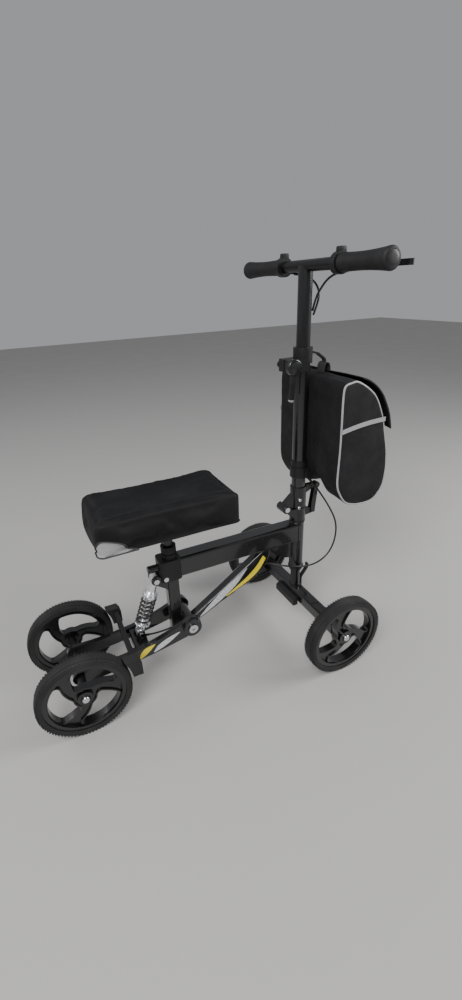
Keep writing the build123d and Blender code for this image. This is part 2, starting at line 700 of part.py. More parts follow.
with BuildPart() as hinge_base:
    for side in (1, -1):
        with BuildSketch(side_plane(side * (fork_inner + fork_outer) / 2)):
            with BuildLine():
                Line((head_x - 12, hinge_foot + 4), (fold_x, fold_z - knuckle_radius))
                ThreePointArc(
                    (fold_x, fold_z - knuckle_radius),
                    (fold_x - knuckle_radius, fold_z),
                    (fold_x, fold_z + knuckle_radius),
                )
                Line((fold_x, fold_z + knuckle_radius), (fold_x + 9, fold_z + 4))
                Line((fold_x + 9, fold_z + 4), (fold_x + 13, hinge_split - 1))
                Line((fold_x + 13, hinge_split - 1), (head_x - 12, hinge_split - 1))
                Line((head_x - 12, hinge_split - 1), (head_x - 12, hinge_foot + 4))
            make_face()
        extrude(amount=(fork_outer - fork_inner) / 2, both=True)
    with BuildSketch(level_plane(hinge_foot, head_x)):
        Circle(base_radius)
    extrude(amount=hinge_split - 1 - hinge_foot)
    with BuildSketch(side_plane(0)):
        with BuildLine():
            Line((head_x + 15, hinge_foot + 4), (latch_foot[0], latch_foot[1] - 6.5))
            ThreePointArc(
                (latch_foot[0], latch_foot[1] - 6.5), (latch_foot[0] + 6.5, latch_foot[1]), (latch_foot[0], latch_foot[1] + 6.5)
            )
            Line((latch_foot[0], latch_foot[1] + 6.5), (head_x + 15, hinge_split - 5))
            Line((head_x + 15, hinge_split - 5), (head_x + 15, hinge_foot + 4))
        make_face()
    extrude(amount=lug_half, both=True)
    with BuildSketch(side_plane(0, *latch_foot)):
        Circle(3 + running)
    extrude(amount=lug_half, both=True, mode=Mode.SUBTRACT)
    with BuildSketch(level_plane(hinge_foot, head_x)):
        Circle(steerer_radius)
    extrude(amount=hinge_split - 4 - hinge_foot, mode=Mode.SUBTRACT)
    with BuildSketch(side_plane(0, fold_x, fold_z)):
        Circle(pin_radius)
    extrude(amount=fork_outer, both=True, mode=Mode.SUBTRACT)
keep(hinge_base.part, "hinge_base")

with BuildPart() as hinge_pin:
    with BuildSketch(side_plane(0, fold_x, fold_z)):
        Circle(pin_radius)
    extrude(amount=fork_outer, both=True)
    for end in (1, -1):
        with BuildSketch(side_plane(end * fork_outer, fold_x, fold_z)):
            Circle(6.5)
        extrude(amount=-end * 3)
keep(hinge_pin.part, "hinge_pin")

column_radius = 17
stem_radius = 15
catch_front = latch_top[0] - 3 - 0.8
with BuildPart() as hinge_top:
    with BuildSketch(side_plane(0)):
        with BuildLine():
            Line((head_x - 12, hinge_split + 1), (fold_x + 10, hinge_split + 1))
            Line((fold_x + 10, hinge_split + 1), (fold_x, fold_z - knuckle_radius))
            ThreePointArc(
                (fold_x, fold_z - knuckle_radius), (fold_x - knuckle_radius, fold_z), (fold_x, fold_z + knuckle_radius)
            )
            Line((fold_x, fold_z + knuckle_radius), (head_x - 12, hinge_top_z - 14))
            Line((head_x - 12, hinge_top_z - 14), (head_x - 12, hinge_split + 1))
        make_face()
    extrude(amount=knuckle_half, both=True)
    with BuildSketch(level_plane(hinge_split + 1, head_x)):
        Circle(base_radius)
    extrude(amount=hinge_top_z - hinge_split - 1)
    with BuildSketch(side_plane(0)):
        with BuildLine():
            Polyline(
                (head_x + 15, latch_top[1] + 6),
                (catch_front, latch_top[1] + 6),
                (catch_front, latch_top[1] - 5),
                (head_x + 15, latch_top[1] - 18),
                (head_x + 15, latch_top[1] + 6),
            )
        make_face()
    extrude(amount=lug_half, both=True)
    with BuildSketch(level_plane(hinge_split + 10, head_x)):
        Circle(column_radius)
    extrude(amount=hinge_top_z, mode=Mode.SUBTRACT)
    with BuildSketch(side_plane(0, fold_x, fold_z)):
        Circle(pin_radius + running)
    extrude(amount=knuckle_half, both=True, mode=Mode.SUBTRACT)
keep(hinge_top.part, "hinge_top")

with BuildPart() as latch:
    with BuildSketch(side_plane(0)):
        with BuildLine():
            Line((latch_foot[0] - 4, latch_foot[1] - 4), (latch_foot[0] + 9, latch_foot[1] - 5))
            Line((latch_foot[0] + 9, latch_foot[1] - 5), (latch_top[0] + 8, latch_top[1] - 8))
            ThreePointArc(
                (latch_top[0] + 8, latch_top[1] - 8), (latch_top[0] + 6, latch_top[1] + 7), (latch_top[0], latch_top[1] + 5)
            )
            Line((latch_top[0], latch_top[1] + 5), (latch_foot[0] - 4, latch_foot[1] - 4))
        make_face()
    extrude(amount=latch_half, both=True)
    with BuildSketch(side_plane(0)):
        with BuildLine():
            Polyline(
                (latch_foot[0] - 20, latch_foot[1] - 20),
                (latch_foot[0] + 7.2, latch_foot[1] - 20),
                (latch_top[0] + 3.4, latch_top[1] + 20),
                (latch_foot[0] - 20, latch_top[1] + 20),
                (latch_foot[0] - 20, latch_foot[1] - 20),
            )
        make_face()
    extrude(amount=lug_half + 0.4, both=True, mode=Mode.SUBTRACT)
    for pin in (latch_foot, latch_top):
        with BuildSketch(side_plane(0, *pin)):
            Circle(3)
        extrude(amount=latch_half + 1.5, both=True)
keep(latch.part, "latch_lever")

# ---- column, collars, clamp with its dial lever and the bag hanger --------------------------------
column_foot, column_top = hinge_split + 10, 735
ring_radius = 21
clamp_foot, clamp_top = 706, 738
dial_x, dial_y, dial_z = head_x - 40, -22, 703
dial_radius, dial_thickness = 17, 12
with BuildPart() as column_tube:
    with BuildSketch(level_plane(column_foot, head_x)):
        Circle(column_radius)
        Circle(stem_radius + running, mode=Mode.SUBTRACT)
    extrude(amount=column_top - column_foot)
keep(column_tube.part, "column_tube")

with BuildPart() as lower_collar:
    with BuildSketch(level_plane(439, head_x)):
        Circle(ring_radius + 0.5)
    extrude(amount=26)
    with BuildSketch(level_plane(465, head_x)):
        Circle(ring_radius - 1.5)
    extrude(amount=15)
    with BuildSketch(level_plane(439, head_x)):
        Circle(column_radius)
    extrude(amount=41, mode=Mode.SUBTRACT)
keep(lower_collar.part, "lower_collar")

with BuildPart() as upper_clamp:
    with BuildSketch(level_plane(clamp_foot, head_x)):
        Circle(ring_radius)
    extrude(amount=clamp_top - clamp_foot)
    with BuildSketch(level_plane(dial_z - 13)):
        with Locations(((dial_x + head_x) / 2 - 2, 0)):
            Rectangle(head_x - dial_x + 10, 2 * -dial_y - 2)
    extrude(amount=26)
    with BuildSketch(level_plane(0, head_x)):
        Circle(column_radius)
    extrude(amount=column_top, mode=Mode.SUBTRACT)
    with BuildSketch(level_plane(0, head_x)):
        Circle(stem_radius + running)
    extrude(amount=clamp_top, mode=Mode.SUBTRACT)
    with BuildSketch(level_plane(dial_z - 20)):
        with Locations((dial_x - 6, 0)):
            Rectangle(2 * (head_x - dial_x - column_radius) - 2, 3)
    extrude(amount=40, mode=Mode.SUBTRACT)
    with BuildSketch(side_plane(0, dial_x, dial_z)):
        Circle(3 + running)
    extrude(amount=-dial_y + 6, both=True, mode=Mode.SUBTRACT)
keep(upper_clamp.part, "upper_clamp")

dial_lever_reach = 70
with BuildPart() as clamp_lever:
    with BuildSketch(side_plane(dial_y, dial_x, dial_z)):
        Circle(dial_radius)
    extrude(amount=dial_thickness)
    fillet(clamp_lever.faces().sort_by(Axis.Y)[0].edges(), 3)
    with BuildSketch(side_plane(dial_y - 2, dial_x - 3, dial_z - dial_lever_reach / 2)):
        SlotOverall(dial_lever_reach + 6, 11, rotation=86)
    extrude(amount=7)
    with BuildSketch(side_plane(dial_y, dial_x, dial_z)):
        Circle(3)
    extrude(amount=2 * dial_y - 2)
    with BuildSketch(side_plane(-dial_y, dial_x, dial_z)):
        Circle(8)
    extrude(amount=-6)
keep(clamp_lever.part, "clamp_lever")

hanger_front, hanger_foot = head_x + 58, 683
with BuildPart() as bag_hanger:
    with BuildSketch(side_plane(0)):
        with BuildLine() as hook:
            FilletPolyline(
                (head_x + ring_radius - 1, 727),
                (head_x + 38, 722),
                (hanger_front, 708),
                (hanger_front, hanger_foot),
                radius=[14, 10],
            )
        trace(hook.line, 4)
    extrude(amount=5, both=True)
    with BuildSketch(level_plane(700, head_x)):
        Circle(ring_radius)
    extrude(amount=60, mode=Mode.SUBTRACT)
keep(bag_hanger.part, "bag_hanger")

# ---- bag: an open shell with end panels, and a flap hinged along its top --------------------------
bag_half = 122
bag_rear = head_x + 27
bag_top = 680
bag_wall = 3
flap_x, flap_z = head_x + 73, bag_top + 4
bag_front = head_x + bag_reach
bag_foot = 386


def bag_outline(grow):
    """The bag's side outline, moved outwards by grow; the front bulges and the top slopes down to it."""
    with BuildSketch(side_plane(0)) as outline:
        with BuildLine():
            Line((bag_rear - grow, bag_foot + 70), (bag_rear - grow, bag_top - 14))
            ThreePointArc(
                (bag_rear - grow, bag_top - 14),
                (bag_rear + 5 - 0.7 * grow, bag_top - 4 + 0.7 * grow),
                (bag_rear + 20, bag_top + grow),
            )
            Line((bag_rear + 20, bag_top + grow), (flap_x - 10, bag_top + grow))
            ThreePointArc(
                (flap_x - 10, bag_top + grow),
                (bag_front - 42 + 0.7 * grow, bag_top - 42 + 0.7 * grow),
                (bag_front - 8 + grow, bag_top - 120),
            )
            ThreePointArc(
                (bag_front - 8 + grow, bag_top - 120),
                (bag_front + grow, bag_top - 180),
                (bag_front - 6 + grow, bag_foot + 50),
            )
            ThreePointArc(
                (bag_front - 6 + grow, bag_foot + 50),
                (bag_front - 25 + 0.7 * grow, bag_foot + 13 - 0.7 * grow),
                (bag_front - 62, bag_foot - grow),
            )
            ThreePointArc(
                (bag_front - 62, bag_foot - grow),
                (bag_rear + 30, bag_foot + 14 - grow),
                (bag_rear - grow, bag_foot + 70),
            )
        make_face()
    return outline.sketch


# The latch lever swings forward into a walled notch in the bag's underside.
notch_rear, notch_front, notch_top = head_x - 28, head_x + 104, 419
notch_half = latch_half + 9


def notch(grow):
    with BuildPart() as room:
        with BuildSketch(side_plane(0)):
            Polygon(
                (notch_rear, bag_foot - 60),
                (notch_front + grow, bag_foot - 60),
                (notch_front + grow, notch_top + grow),
                (notch_rear, notch_top + grow),
                align=None,
            )
        extrude(amount=notch_half + grow, both=True)
    return room.part


flap_gap = 1
flap_thickness = 3
flap_hem = bag_top - 122
mouth_rear = flap_x - 6
with BuildPart() as bag_room:
    extrude(bag_outline(-bag_wall), amount=bag_half - bag_wall, both=True)
    add(notch(bag_wall), mode=Mode.SUBTRACT)
with BuildPart() as bag:
    extrude(bag_outline(0), amount=bag_half, both=True)
    add(bag_room.part, mode=Mode.SUBTRACT)
    add(notch(0), mode=Mode.SUBTRACT)
    with BuildSketch(side_plane(0)):
        with BuildLine():
            Polyline(
                (mouth_rear, bag_top + 30),
                (mouth_rear, bag_top - bag_wall - 2),
                (bag_front - 18, bag_top - 92),
                (bag_front + 30, bag_top - 92),
                (mouth_rear, bag_top + 30),
            )
        make_face()
    extrude(amount=bag_half - bag_wall, both=True, mode=Mode.SUBTRACT)
keep(bag.part, "bag")

with BuildPart() as flap:
    extrude(bag_outline(flap_gap + flap_thickness), amount=bag_half - 4, both=True)
    extrude(bag_outline(flap_gap), amount=bag_half, both=True, mode=Mode.SUBTRACT)
    with BuildSketch(side_plane(0)):
        with BuildLine():
            Polyline(
                (flap_x, 0), (flap_x, bag_top + 40), (rear_x, bag_top + 40), (rear_x, 0), (flap_x, 0)
            )
        make_face()
    extrude(amount=bag_half, both=True, mode=Mode.SUBTRACT)
    with BuildSketch(level_plane(0, head_x)):
        Rectangle(2000, 2000)
    extrude(amount=flap_hem, mode=Mode.SUBTRACT)
keep(flap.part, "bag_flap")

# ---- stem, handlebar, grips, lever clamps and brake levers ----------------------------------------
stem_foot = 560
handlebar_radius = 11.1
left_clamp_y, right_clamp_y = 83, -106
clamp_half = 7
clamp_radius = handlebar_radius + 8
grip_radius = 16.5
with BuildPart() as stem:
    with BuildSketch(level_plane(stem_foot, head_x)):
        Circle(stem_radius)
        Circle(stem_radius - 2, mode=Mode.SUBTRACT)
    extrude(amount=bar_height - stem_foot)
    with BuildSketch(side_plane(0, head_x, bar_height)):
        Circle(handlebar_radius)
    extrude(amount=bar_length, both=True, mode=Mode.SUBTRACT)
keep(stem.part, "stem_tube")

with BuildPart() as handlebar:
    with BuildSketch(side_plane(0, head_x, bar_height)):
        Circle(handlebar_radius)
        Circle(handlebar_radius - 2, mode=Mode.SUBTRACT)
    extrude(amount=bar_length / 2 - 4, both=True)
keep(handlebar.part, "handlebar")

with BuildPart() as grips:
    for inner_y, side in ((left_clamp_y + clamp_half + 2, 1), (-right_clamp_y + clamp_half + 2, -1)):
        with BuildSketch(Plane(origin=(head_x, 0, bar_height), x_dir=(0, side, 0), z_dir=(side, 0, 0))):
            outer_y = bar_length / 2
            mid_y = (inner_y + outer_y) / 2
            with BuildLine():
                Line((inner_y, 0), (inner_y, grip_radius))
                ThreePointArc((inner_y, grip_radius), (mid_y, grip_radius - 1.5), (outer_y - 5, grip_radius + 2))
                ThreePointArc(
                    (outer_y - 5, grip_radius + 2), (outer_y - 1.5, grip_radius + 0.5), (outer_y, grip_radius - 3)
                )
                Line((outer_y, grip_radius - 3), (outer_y, 0))
                Line((outer_y, 0), (inner_y, 0))
            make_face()
        revolve(axis=Axis((head_x, 0, bar_height), (0, 1, 0)))
    with BuildSketch(side_plane(0, head_x, bar_height)):
        Circle(handlebar_radius)
    extrude(amount=bar_length / 2 - 4, both=True, mode=Mode.SUBTRACT)
keep(grips.part, "grips")

lever_pivot_x = head_x + 28
lever_z = bar_height - 5
lever_half = 5
with BuildPart() as lever_clamps:
    for y, side in ((left_clamp_y, 1), (right_clamp_y, -1)):
        with BuildSketch(side_plane(y, head_x, bar_height)):
            Circle(clamp_radius)
        extrude(amount=clamp_half, both=True)
        for level in (lever_z + lever_half + side_gap, lever_z - lever_half - side_gap - 3):
            with BuildSketch(level_plane(level)):
                with BuildLine():
                    Polyline(
                        (head_x + 9, y - 6),
                        (lever_pivot_x, y - 8),
                        (lever_pivot_x + 7, y - 5),
                        (lever_pivot_x + 7, y + 5),
                        (lever_pivot_x, y + 8),
                        (head_x + 9, y + 6),
                        (head_x + 9, y - 6),
                    )
                make_face()
            extrude(amount=3)
        with BuildSketch(level_plane(lever_z - lever_half - side_gap - 3, lever_pivot_x, y)):
            Circle(3)
        extrude(amount=2 * lever_half + 2 * side_gap + 6, mode=Mode.SUBTRACT)
        with BuildSketch(side_plane(y, head_x, bar_height)):
            Circle(handlebar_radius)
        extrude(amount=clamp_half + 2, both=True, mode=Mode.SUBTRACT)
        with BuildSketch(level_plane(lever_z - lever_half - side_gap - 3, lever_pivot_x, y)):
            Circle(3)
        extrude(amount=2 * lever_half + 2 * side_gap + 6)
keep(lever_clamps.part, "lever_clamps")

lever_reach = 113
lever_tip_x = 56
for name, y, side in (("left", left_clamp_y, 1), ("right", right_clamp_y, -1)):
    with BuildPart() as lever:
        with BuildSketch(level_plane(lever_z - lever_half)):
            with BuildLine() as blade:
                ThreePointArc(
                    (lever_pivot_x, y),
                    (head_x + 47, y + side * 50),
                    (head_x + lever_tip_x, y + side * lever_reach),
                )
            trace(blade.line, 9)
            with Locations((lever_pivot_x, y)):
                Circle(7)
            with Locations((head_x + lever_tip_x, y + side * lever_reach)):
                Circle(5.5)
        extrude(amount=2 * lever_half)
        with BuildSketch(level_plane(lever_z - lever_half, lever_pivot_x, y)):
            Circle(3 + running)
        extrude(amount=2 * lever_half, mode=Mode.SUBTRACT)
    keep(lever.part, f"brake_lever_{name}")

# ---- cables: straight runs joined by tangent arcs --------------------------------------------------
cable_radius = 2.2


def cable(route):
    """The cable's round section swept along a route, with each arc as large as its two runs allow."""
    points = [Vector(*p) for p in route]
    radii = []
    for before, at, after in zip(points, points[1:], points[2:]):
        half_turn = radians((at - before).get_angle(after - at)) / 2
        shorter = min((at - before).length, (after - at).length)
        radii.append(0.45 * shorter * cos(half_turn) / sin(half_turn))
    print("cable radii", [round(r) for r in radii])
    with BuildPart() as piece:
        with BuildLine() as path:
            FilletPolyline(*route, radius=radii)
        with BuildSketch(Plane(origin=path.line @ 0, z_dir=path.line % 0)):
            Circle(cable_radius)
        sweep(path=path.line)
    return piece.part


port_z = 822
stem_front = head_x + stem_radius
with BuildPart() as cable_upper:
    add(cable([
        (head_x + 24, right_clamp_y + clamp_half + 1, bar_height - 13),
        (head_x + 24, right_clamp_y + 34, bar_height - 15),
        (head_x + 23, -44, bar_height - 24),
        (head_x + 22, -24, bar_height - 41),
        (stem_front + 5, -9, bar_height - 61),
        (stem_front + 2.4, -4.5, bar_height - 84),
    ]))
    add(cable([
        (head_x + 24, left_clamp_y - clamp_half - 1, bar_height - 13),
        (head_x + 25, left_clamp_y - 34, bar_height - 15),
        (head_x + 27, 22, bar_height - 22),
        (head_x + 27, -2, bar_height - 34),
        (stem_front + 10, -16, bar_height - 52),
        (stem_front + 6, -14, bar_height - 74),
        (stem_front + 1.6, -9, bar_height - 92),
    ]))
    with BuildSketch(level_plane(stem_foot, head_x)):
        Circle(stem_radius)
    extrude(amount=bar_height, mode=Mode.SUBTRACT)
keep(cable_upper.part, "cable_upper")

with BuildPart() as cable_loop:
    add(cable([
        (head_x + 22, -13, 430),
        (head_x + 37, -22, 409),
        (head_x + 58, -24, 378),
        (head_x + 82, -25, 341),
        (head_x + 103, -26, 300),
        (head_x + 109, -26, 262),
        (head_x + 101, -26, 222),
        (head_x + 80, -26, 194),
        (head_x + 46, -26, 181),
        (head_x + 10, -25, 183),
        (head_x - 22, -22, 192),
        (head_x - 44, -14, 196),
        (head_x - 64, 2, 199),
        (head_x - 82, 14, 201),
        (head_x - 102, 17, 202),
    ]))
keep(cable_loop.part, "cable_loop")

with BuildPart() as cable_rear:
    add(cable([
        (head_x - 102, 17, 202),
        (head_x - 122, 20, 203),
        (head_x - 152, 18, 188),
        (rear_x + 398, 16, 165),
        (rear_x + 362, 16, 143),
        (rear_x + 326, 18, 124),
        (rear_x + 288, 22, 105),
        (rear_x + 244, 23, 92),
        (rear_x + 200, 22, 88),
        (rear_x + 166, 20, 97),
    ]))
keep(cable_rear.part, "cable_rear")
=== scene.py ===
from math import cos, pi, radians, sin

import bmesh
import bpy
from mathutils import Matrix, Vector, noise


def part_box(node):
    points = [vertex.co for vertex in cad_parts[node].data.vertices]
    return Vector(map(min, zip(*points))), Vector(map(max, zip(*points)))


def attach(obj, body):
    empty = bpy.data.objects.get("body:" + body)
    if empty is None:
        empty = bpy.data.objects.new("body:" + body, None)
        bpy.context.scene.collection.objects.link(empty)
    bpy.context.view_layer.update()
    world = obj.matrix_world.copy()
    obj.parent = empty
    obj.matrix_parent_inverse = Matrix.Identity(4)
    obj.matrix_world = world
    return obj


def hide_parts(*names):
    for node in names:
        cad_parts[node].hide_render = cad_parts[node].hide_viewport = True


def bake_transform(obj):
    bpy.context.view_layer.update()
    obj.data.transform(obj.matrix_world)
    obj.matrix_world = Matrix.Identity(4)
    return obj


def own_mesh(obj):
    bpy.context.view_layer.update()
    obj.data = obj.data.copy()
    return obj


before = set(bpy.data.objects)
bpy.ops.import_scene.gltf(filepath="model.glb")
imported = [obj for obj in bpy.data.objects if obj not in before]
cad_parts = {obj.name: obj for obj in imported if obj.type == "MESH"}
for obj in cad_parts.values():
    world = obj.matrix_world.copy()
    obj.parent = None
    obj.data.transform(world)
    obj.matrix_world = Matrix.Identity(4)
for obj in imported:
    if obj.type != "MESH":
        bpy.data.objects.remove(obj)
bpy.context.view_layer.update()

# ---- Frame tubes ----------------------------------------------------------------------------------
# Welded steel tube and plate, powder coated in gloss black: head tube, beam, seat tube and down
# tube, with the shock's upper bracket. Each has the faint orange peel of a baked powder coat.
rear_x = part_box("tyre_rear_left")[0].x + 0.1
head_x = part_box("tyre_front_left")[0].x + 0.1


class Link:
    """One output of a finish's nodes. Sums on it add Math nodes."""

    def __init__(self, finish, socket):
        self.finish, self.socket = finish, socket

    def sum(self, operation, a, b=0.0):
        return self.finish.node("ShaderNodeMath", {"operation": operation}, {0: a, 1: b})

    def __add__(self, other):
        return self.sum("ADD", self, other)

    __radd__ = __add__

    def __mul__(self, other):
        return self.sum("MULTIPLY", self, other)

    __rmul__ = __mul__


class Finish:
    """A material being mixed. node() adds any node; the rest are the few recipes used often."""

    def __init__(self, name, colour, roughness, metallic=0.0, **fixed):
        self.material = bpy.data.materials.new(name)
        self.material.use_nodes = True
        self.tree = self.material.node_tree
        self.shader = self.tree.nodes["Principled BSDF"]
        self.colour, self.roughness = (*colour, 1.0), roughness
        self.feed("Base Color", self.colour)
        self.feed("Roughness", roughness)
        self.feed("Metallic", metallic)
        for socket, value in fixed.items():
            self.feed(socket.replace("_", " "), value)

    def node(self, kind, settings=None, inputs=None, output=0):
        made = self.tree.nodes.new(kind)
        for key, value in (settings or {}).items():
            if key == "stops":
                for k, (place, shade) in enumerate(value):
                    stop = made.color_ramp.elements[k] if k < 2 else made.color_ramp.elements.new(place)
                    stop.position, stop.color = place, (*shade, 1.0)
            else:
                setattr(made, key, value)
        for key, value in (inputs or {}).items():
            self.put(made.inputs[key], value)
        return Link(self, made.outputs[output])

    def put(self, socket, value):
        if isinstance(value, Link):
            self.tree.links.new(value.socket, socket)
        else:
            socket.default_value = value

    def feed(self, socket, value):
        self.put(self.shader.inputs[socket], value)

    def place(self, stretch=(1.0, 1.0, 1.0)):
        at = self.node("ShaderNodeTexCoord", output="Object")
        return self.node("ShaderNodeMapping", {}, {"Vector": at, "Scale": stretch})

    def noise(self, scale, detail=3.0, stretch=(1.0, 1.0, 1.0)):
        return self.node(
            "ShaderNodeTexNoise", {}, {"Vector": self.place(stretch), "Scale": scale, "Detail": detail}
        )

    def wave(self, scale, direction, distortion=0.0):
        return self.node(
            "ShaderNodeTexWave",
            {"bands_direction": direction},
            {"Vector": self.place(), "Scale": scale, "Distortion": distortion},
        )

    def between(self, value, low, high, out_low, out_high):
        return self.node(
            "ShaderNodeMapRange",
            {},
            {"Value": value, "From Min": low, "From Max": high, "To Min": out_low, "To Max": out_high},
        )

    def tint(self, mask, other):
        """The base colour goes over to another one where the mask is 1."""
        blend = self.node(
            "ShaderNodeMix", {"data_type": "RGBA"}, {0: mask, 6: self.colour, 7: (*other, 1.0)}, 2
        )
        self.feed("Base Color", blend)

    def roughen(self, low, high, *pattern):
        """Roughness that wanders between low and high with a noise pattern."""
        self.feed("Roughness", self.between(self.noise(*pattern), 0.3, 0.7, low, high))

    def fleck(self, other, start, end, most, *pattern):
        """Patches of another colour where a noise pattern rises from start to end."""
        self.tint(self.between(self.noise(*pattern), start, end, 0.0, most), other)

    def grain(self, distance, strength, *pattern):
        """A fine relief from a noise pattern."""
        self.bump(self.noise(*pattern), distance, strength)

    def bump(self, height, distance, strength=1.0):
        relief = self.node(
            "ShaderNodeBump", {}, {"Height": height, "Distance": distance, "Strength": strength}
        )
        self.feed("Normal", relief)


def dress(finish, *nodes):
    for name in nodes:
        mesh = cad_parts[name].data
        mesh.materials.clear()
        mesh.materials.append(finish.material)
        for polygon in mesh.polygons:
            polygon.material_index = 0


black_paint = Finish("black_powder_coat", (0.005, 0.005, 0.0055), 0.2, Coat_Weight=0.6, Coat_Roughness=0.06)
haze = black_paint.noise(9.0, 5.0)
black_paint.feed("Roughness", black_paint.between(haze, 0.35, 0.7, 0.16, 0.32))
black_paint.fleck((0.015, 0.015, 0.016), 0.62, 0.8, 0.4, 60.0, 6.0)
black_paint.grain(0.0002, 0.35, 420.0, 2.0)
dress(black_paint, "main_beam", "head_tube", "seat_tube", "down_tube", "shock_bracket")


def add_piece(name, points, faces, finish, body, angle=35.0):
    """A closed mesh from points and faces in metres, smoothed below the given angle, riding on a body."""
    mesh = bpy.data.meshes.new(name)
    mesh.from_pydata([tuple(p) for p in points], [], faces)
    shape = bmesh.new()
    shape.from_mesh(mesh)
    bmesh.ops.remove_doubles(shape, verts=shape.verts, dist=1e-6)
    bmesh.ops.recalc_face_normals(shape, faces=shape.faces)
    shape.to_mesh(mesh)
    shape.free()
    mesh.shade_smooth()
    mesh.set_sharp_from_angle(angle=radians(angle))
    mesh.materials.append(finish.material)
    piece = bpy.data.objects.new(name, mesh)
    bpy.context.scene.collection.objects.link(piece)
    if body:
        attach(piece, body)
    return piece


def rings_to_faces(count, around, ends=True, wrap=False):
    """Quads between rings of points that follow each other, with a cap at each end."""
    faces = []
    for k in range(count if wrap else count - 1):
        a, b = k * around, ((k + 1) % count) * around
        for j in range(around):
            n = (j + 1) % around
            faces.append((a + j, a + n, b + n, b + j))
    if ends and not wrap:
        faces.append(tuple(range(around - 1, -1, -1)))
        faces.append(tuple(range((count - 1) * around, count * around)))
    return faces


def bead(centres, radius, around=10, wrap=False):
    """Points and faces of a round bead that follows a line of centres."""
    centres = [Vector(c) for c in centres]
    points, side = [], None
    total = len(centres)
    for k, centre in enumerate(centres):
        ahead = centres[(k + 1) % total] if wrap or k + 1 < total else centre
        behind = centres[k - 1] if wrap or k > 0 else centre
        along = (ahead - behind).normalized()
        if side is None:
            side = along.orthogonal().normalized()
        side = (side - along * side.dot(along)).normalized()
        up = along.cross(side)
        for j in range(around):
            turn = 2 * pi * j / around
            points.append(centre + radius * (side * cos(turn) + up * sin(turn)))
    return points, rings_to_faces(total, around, wrap=wrap)


def loose(shape):
    """Points and faces of an edited shape, which is freed."""
    shape.verts.index_update()
    points = [v.co.copy() for v in shape.verts]
    faces = [tuple(v.index for v in f.verts) for f in shape.faces]
    shape.free()
    return points, faces


# ---- Weld beads -----------------------------------------------------------------------------------
# Rippled fillets of weld metal, painted over with the frame, where the beam meets the head tube.
def weld(name, line, body, radius=0.0022):
    path = []
    for k, point in enumerate(line):
        path.append(Vector(point) + Vector((0, 0, 0.0004 * sin(k * 2.1))))
    points, faces = bead(path, radius, 8)
    return add_piece(name, points, faces, black_paint, body)


for side in (1, -1):
    joint = []
    for k in range(25):
        z = 0.267 + 0.042 * k / 24
        joint.append((head_x - 0.018 * cos(1.2), side * 0.0195, z))
    weld(f"weld_beam_{'left' if side > 0 else 'right'}", joint, "frame")
for word, z in (("top", 0.3135), ("bottom", 0.2625)):
    arc = [(head_x - 0.0185 * cos(a * 0.1), 0.0185 * sin(a * 0.1), z) for a in range(-12, 13)]
    weld(f"weld_beam_{word}", arc, "frame")

# ---- Frame decals ---------------------------------------------------------------------------------
# Thin printed vinyl strokes on both sides of the down tube: a silver slash that widens in the middle
# and a yellow stroke under it that curls up to the beam. A gloss clear coat covers them.
silver_vinyl = Finish("silver_vinyl", (0.62, 0.63, 0.65), 0.28, 0.35, Coat_Weight=0.5)
silver_vinyl.roughen(0.22, 0.36, 120.0)
silver_vinyl.grain(0.0001, 0.3, 300.0)
yellow_vinyl = Finish("yellow_vinyl", (0.78, 0.62, 0.02), 0.3, 0.0, Coat_Weight=0.5)
yellow_vinyl.roughen(0.24, 0.38, 120.0)
yellow_vinyl.grain(0.0001, 0.3, 300.0)


def curve_through(points, steps, closed=False):
    """A smooth line through the given points, with steps parts between each two."""
    points = [Vector(p) for p in points]
    count = len(points)
    line = []
    for k in range(count if closed else count - 1):
        if closed:
            a, b, c, d = (points[(k + j) % count] for j in (-1, 0, 1, 2))
        else:
            b, c = points[k], points[k + 1]
            a = points[k - 1] if k > 0 else 2 * b - c
            d = points[k + 2] if k + 2 < count else 2 * c - b
        for s in range(steps):
            t = s / steps
            curl = (2 * a - 5 * b + 4 * c - d) * t * t + (3 * b - a - 3 * c + d) * t**3
            line.append(0.5 * ((2 * b) + (c - a) * t + curl))
    if not closed:
        line.append(points[-1])
    return line


def slab(low, high, out):
    """Points and faces of a thin strip between two lines of points, with its second face moved by out."""
    points = low + high + [p + out for p in low + high]
    count = len(low)
    faces = []
    for k in range(count - 1):
        a, b = k, count + k
        faces.append((a, a + 1, b + 1, b))
        faces.append(tuple(2 * count + i for i in (b, b + 1, a + 1, a)))
        faces.append((a, 2 * count + a, 2 * count + a + 1, a + 1))
        faces.append((b, b + 1, 2 * count + b + 1, 2 * count + b))
    faces.append((0, count, 3 * count, 2 * count))
    faces.append((count - 1, 3 * count - 1, 4 * count - 1, 2 * count - 1))
    return points, faces


def decal(name, lower, upper, y, finish, body):
    """A flat stroke between a lower and an upper line, in millimetres ahead of the rear axle and up."""
    thick = 0.0003 if y > 0 else -0.0003
    low = [Vector((rear_x + p.x / 1000, y, p.y / 1000)) for p in curve_through(lower, 8)]
    high = [Vector((rear_x + p.x / 1000, y, p.y / 1000)) for p in curve_through(upper, 8)]
    points, faces = slab(low, high, Vector((0, thick, 0)))
    add_piece(name, points, faces, finish, body, 30)


slash_low = [(300, 124, 0), (338, 143, 0), (378, 168, 0), (408, 193, 0), (434, 224, 0)]
slash_high = [(299, 126, 0), (330, 155, 0), (364, 182, 0), (400, 205, 0), (433, 226, 0)]
stroke_low = [(374, 160, 0), (410, 175, 0), (446, 192, 0), (470, 212, 0), (487, 238, 0)]
stroke_high = [(373, 162, 0), (408, 183, 0), (438, 203, 0), (462, 225, 0), (479, 248, 0)]
down_face = 0.0126
for side, word in ((1, "left"), (-1, "right")):
    decal(f"decal_down_silver_{word}", slash_low, slash_high, side * down_face, silver_vinyl, "frame")
    decal(f"decal_down_yellow_{word}", stroke_low, stroke_high, side * down_face, yellow_vinyl, "frame")

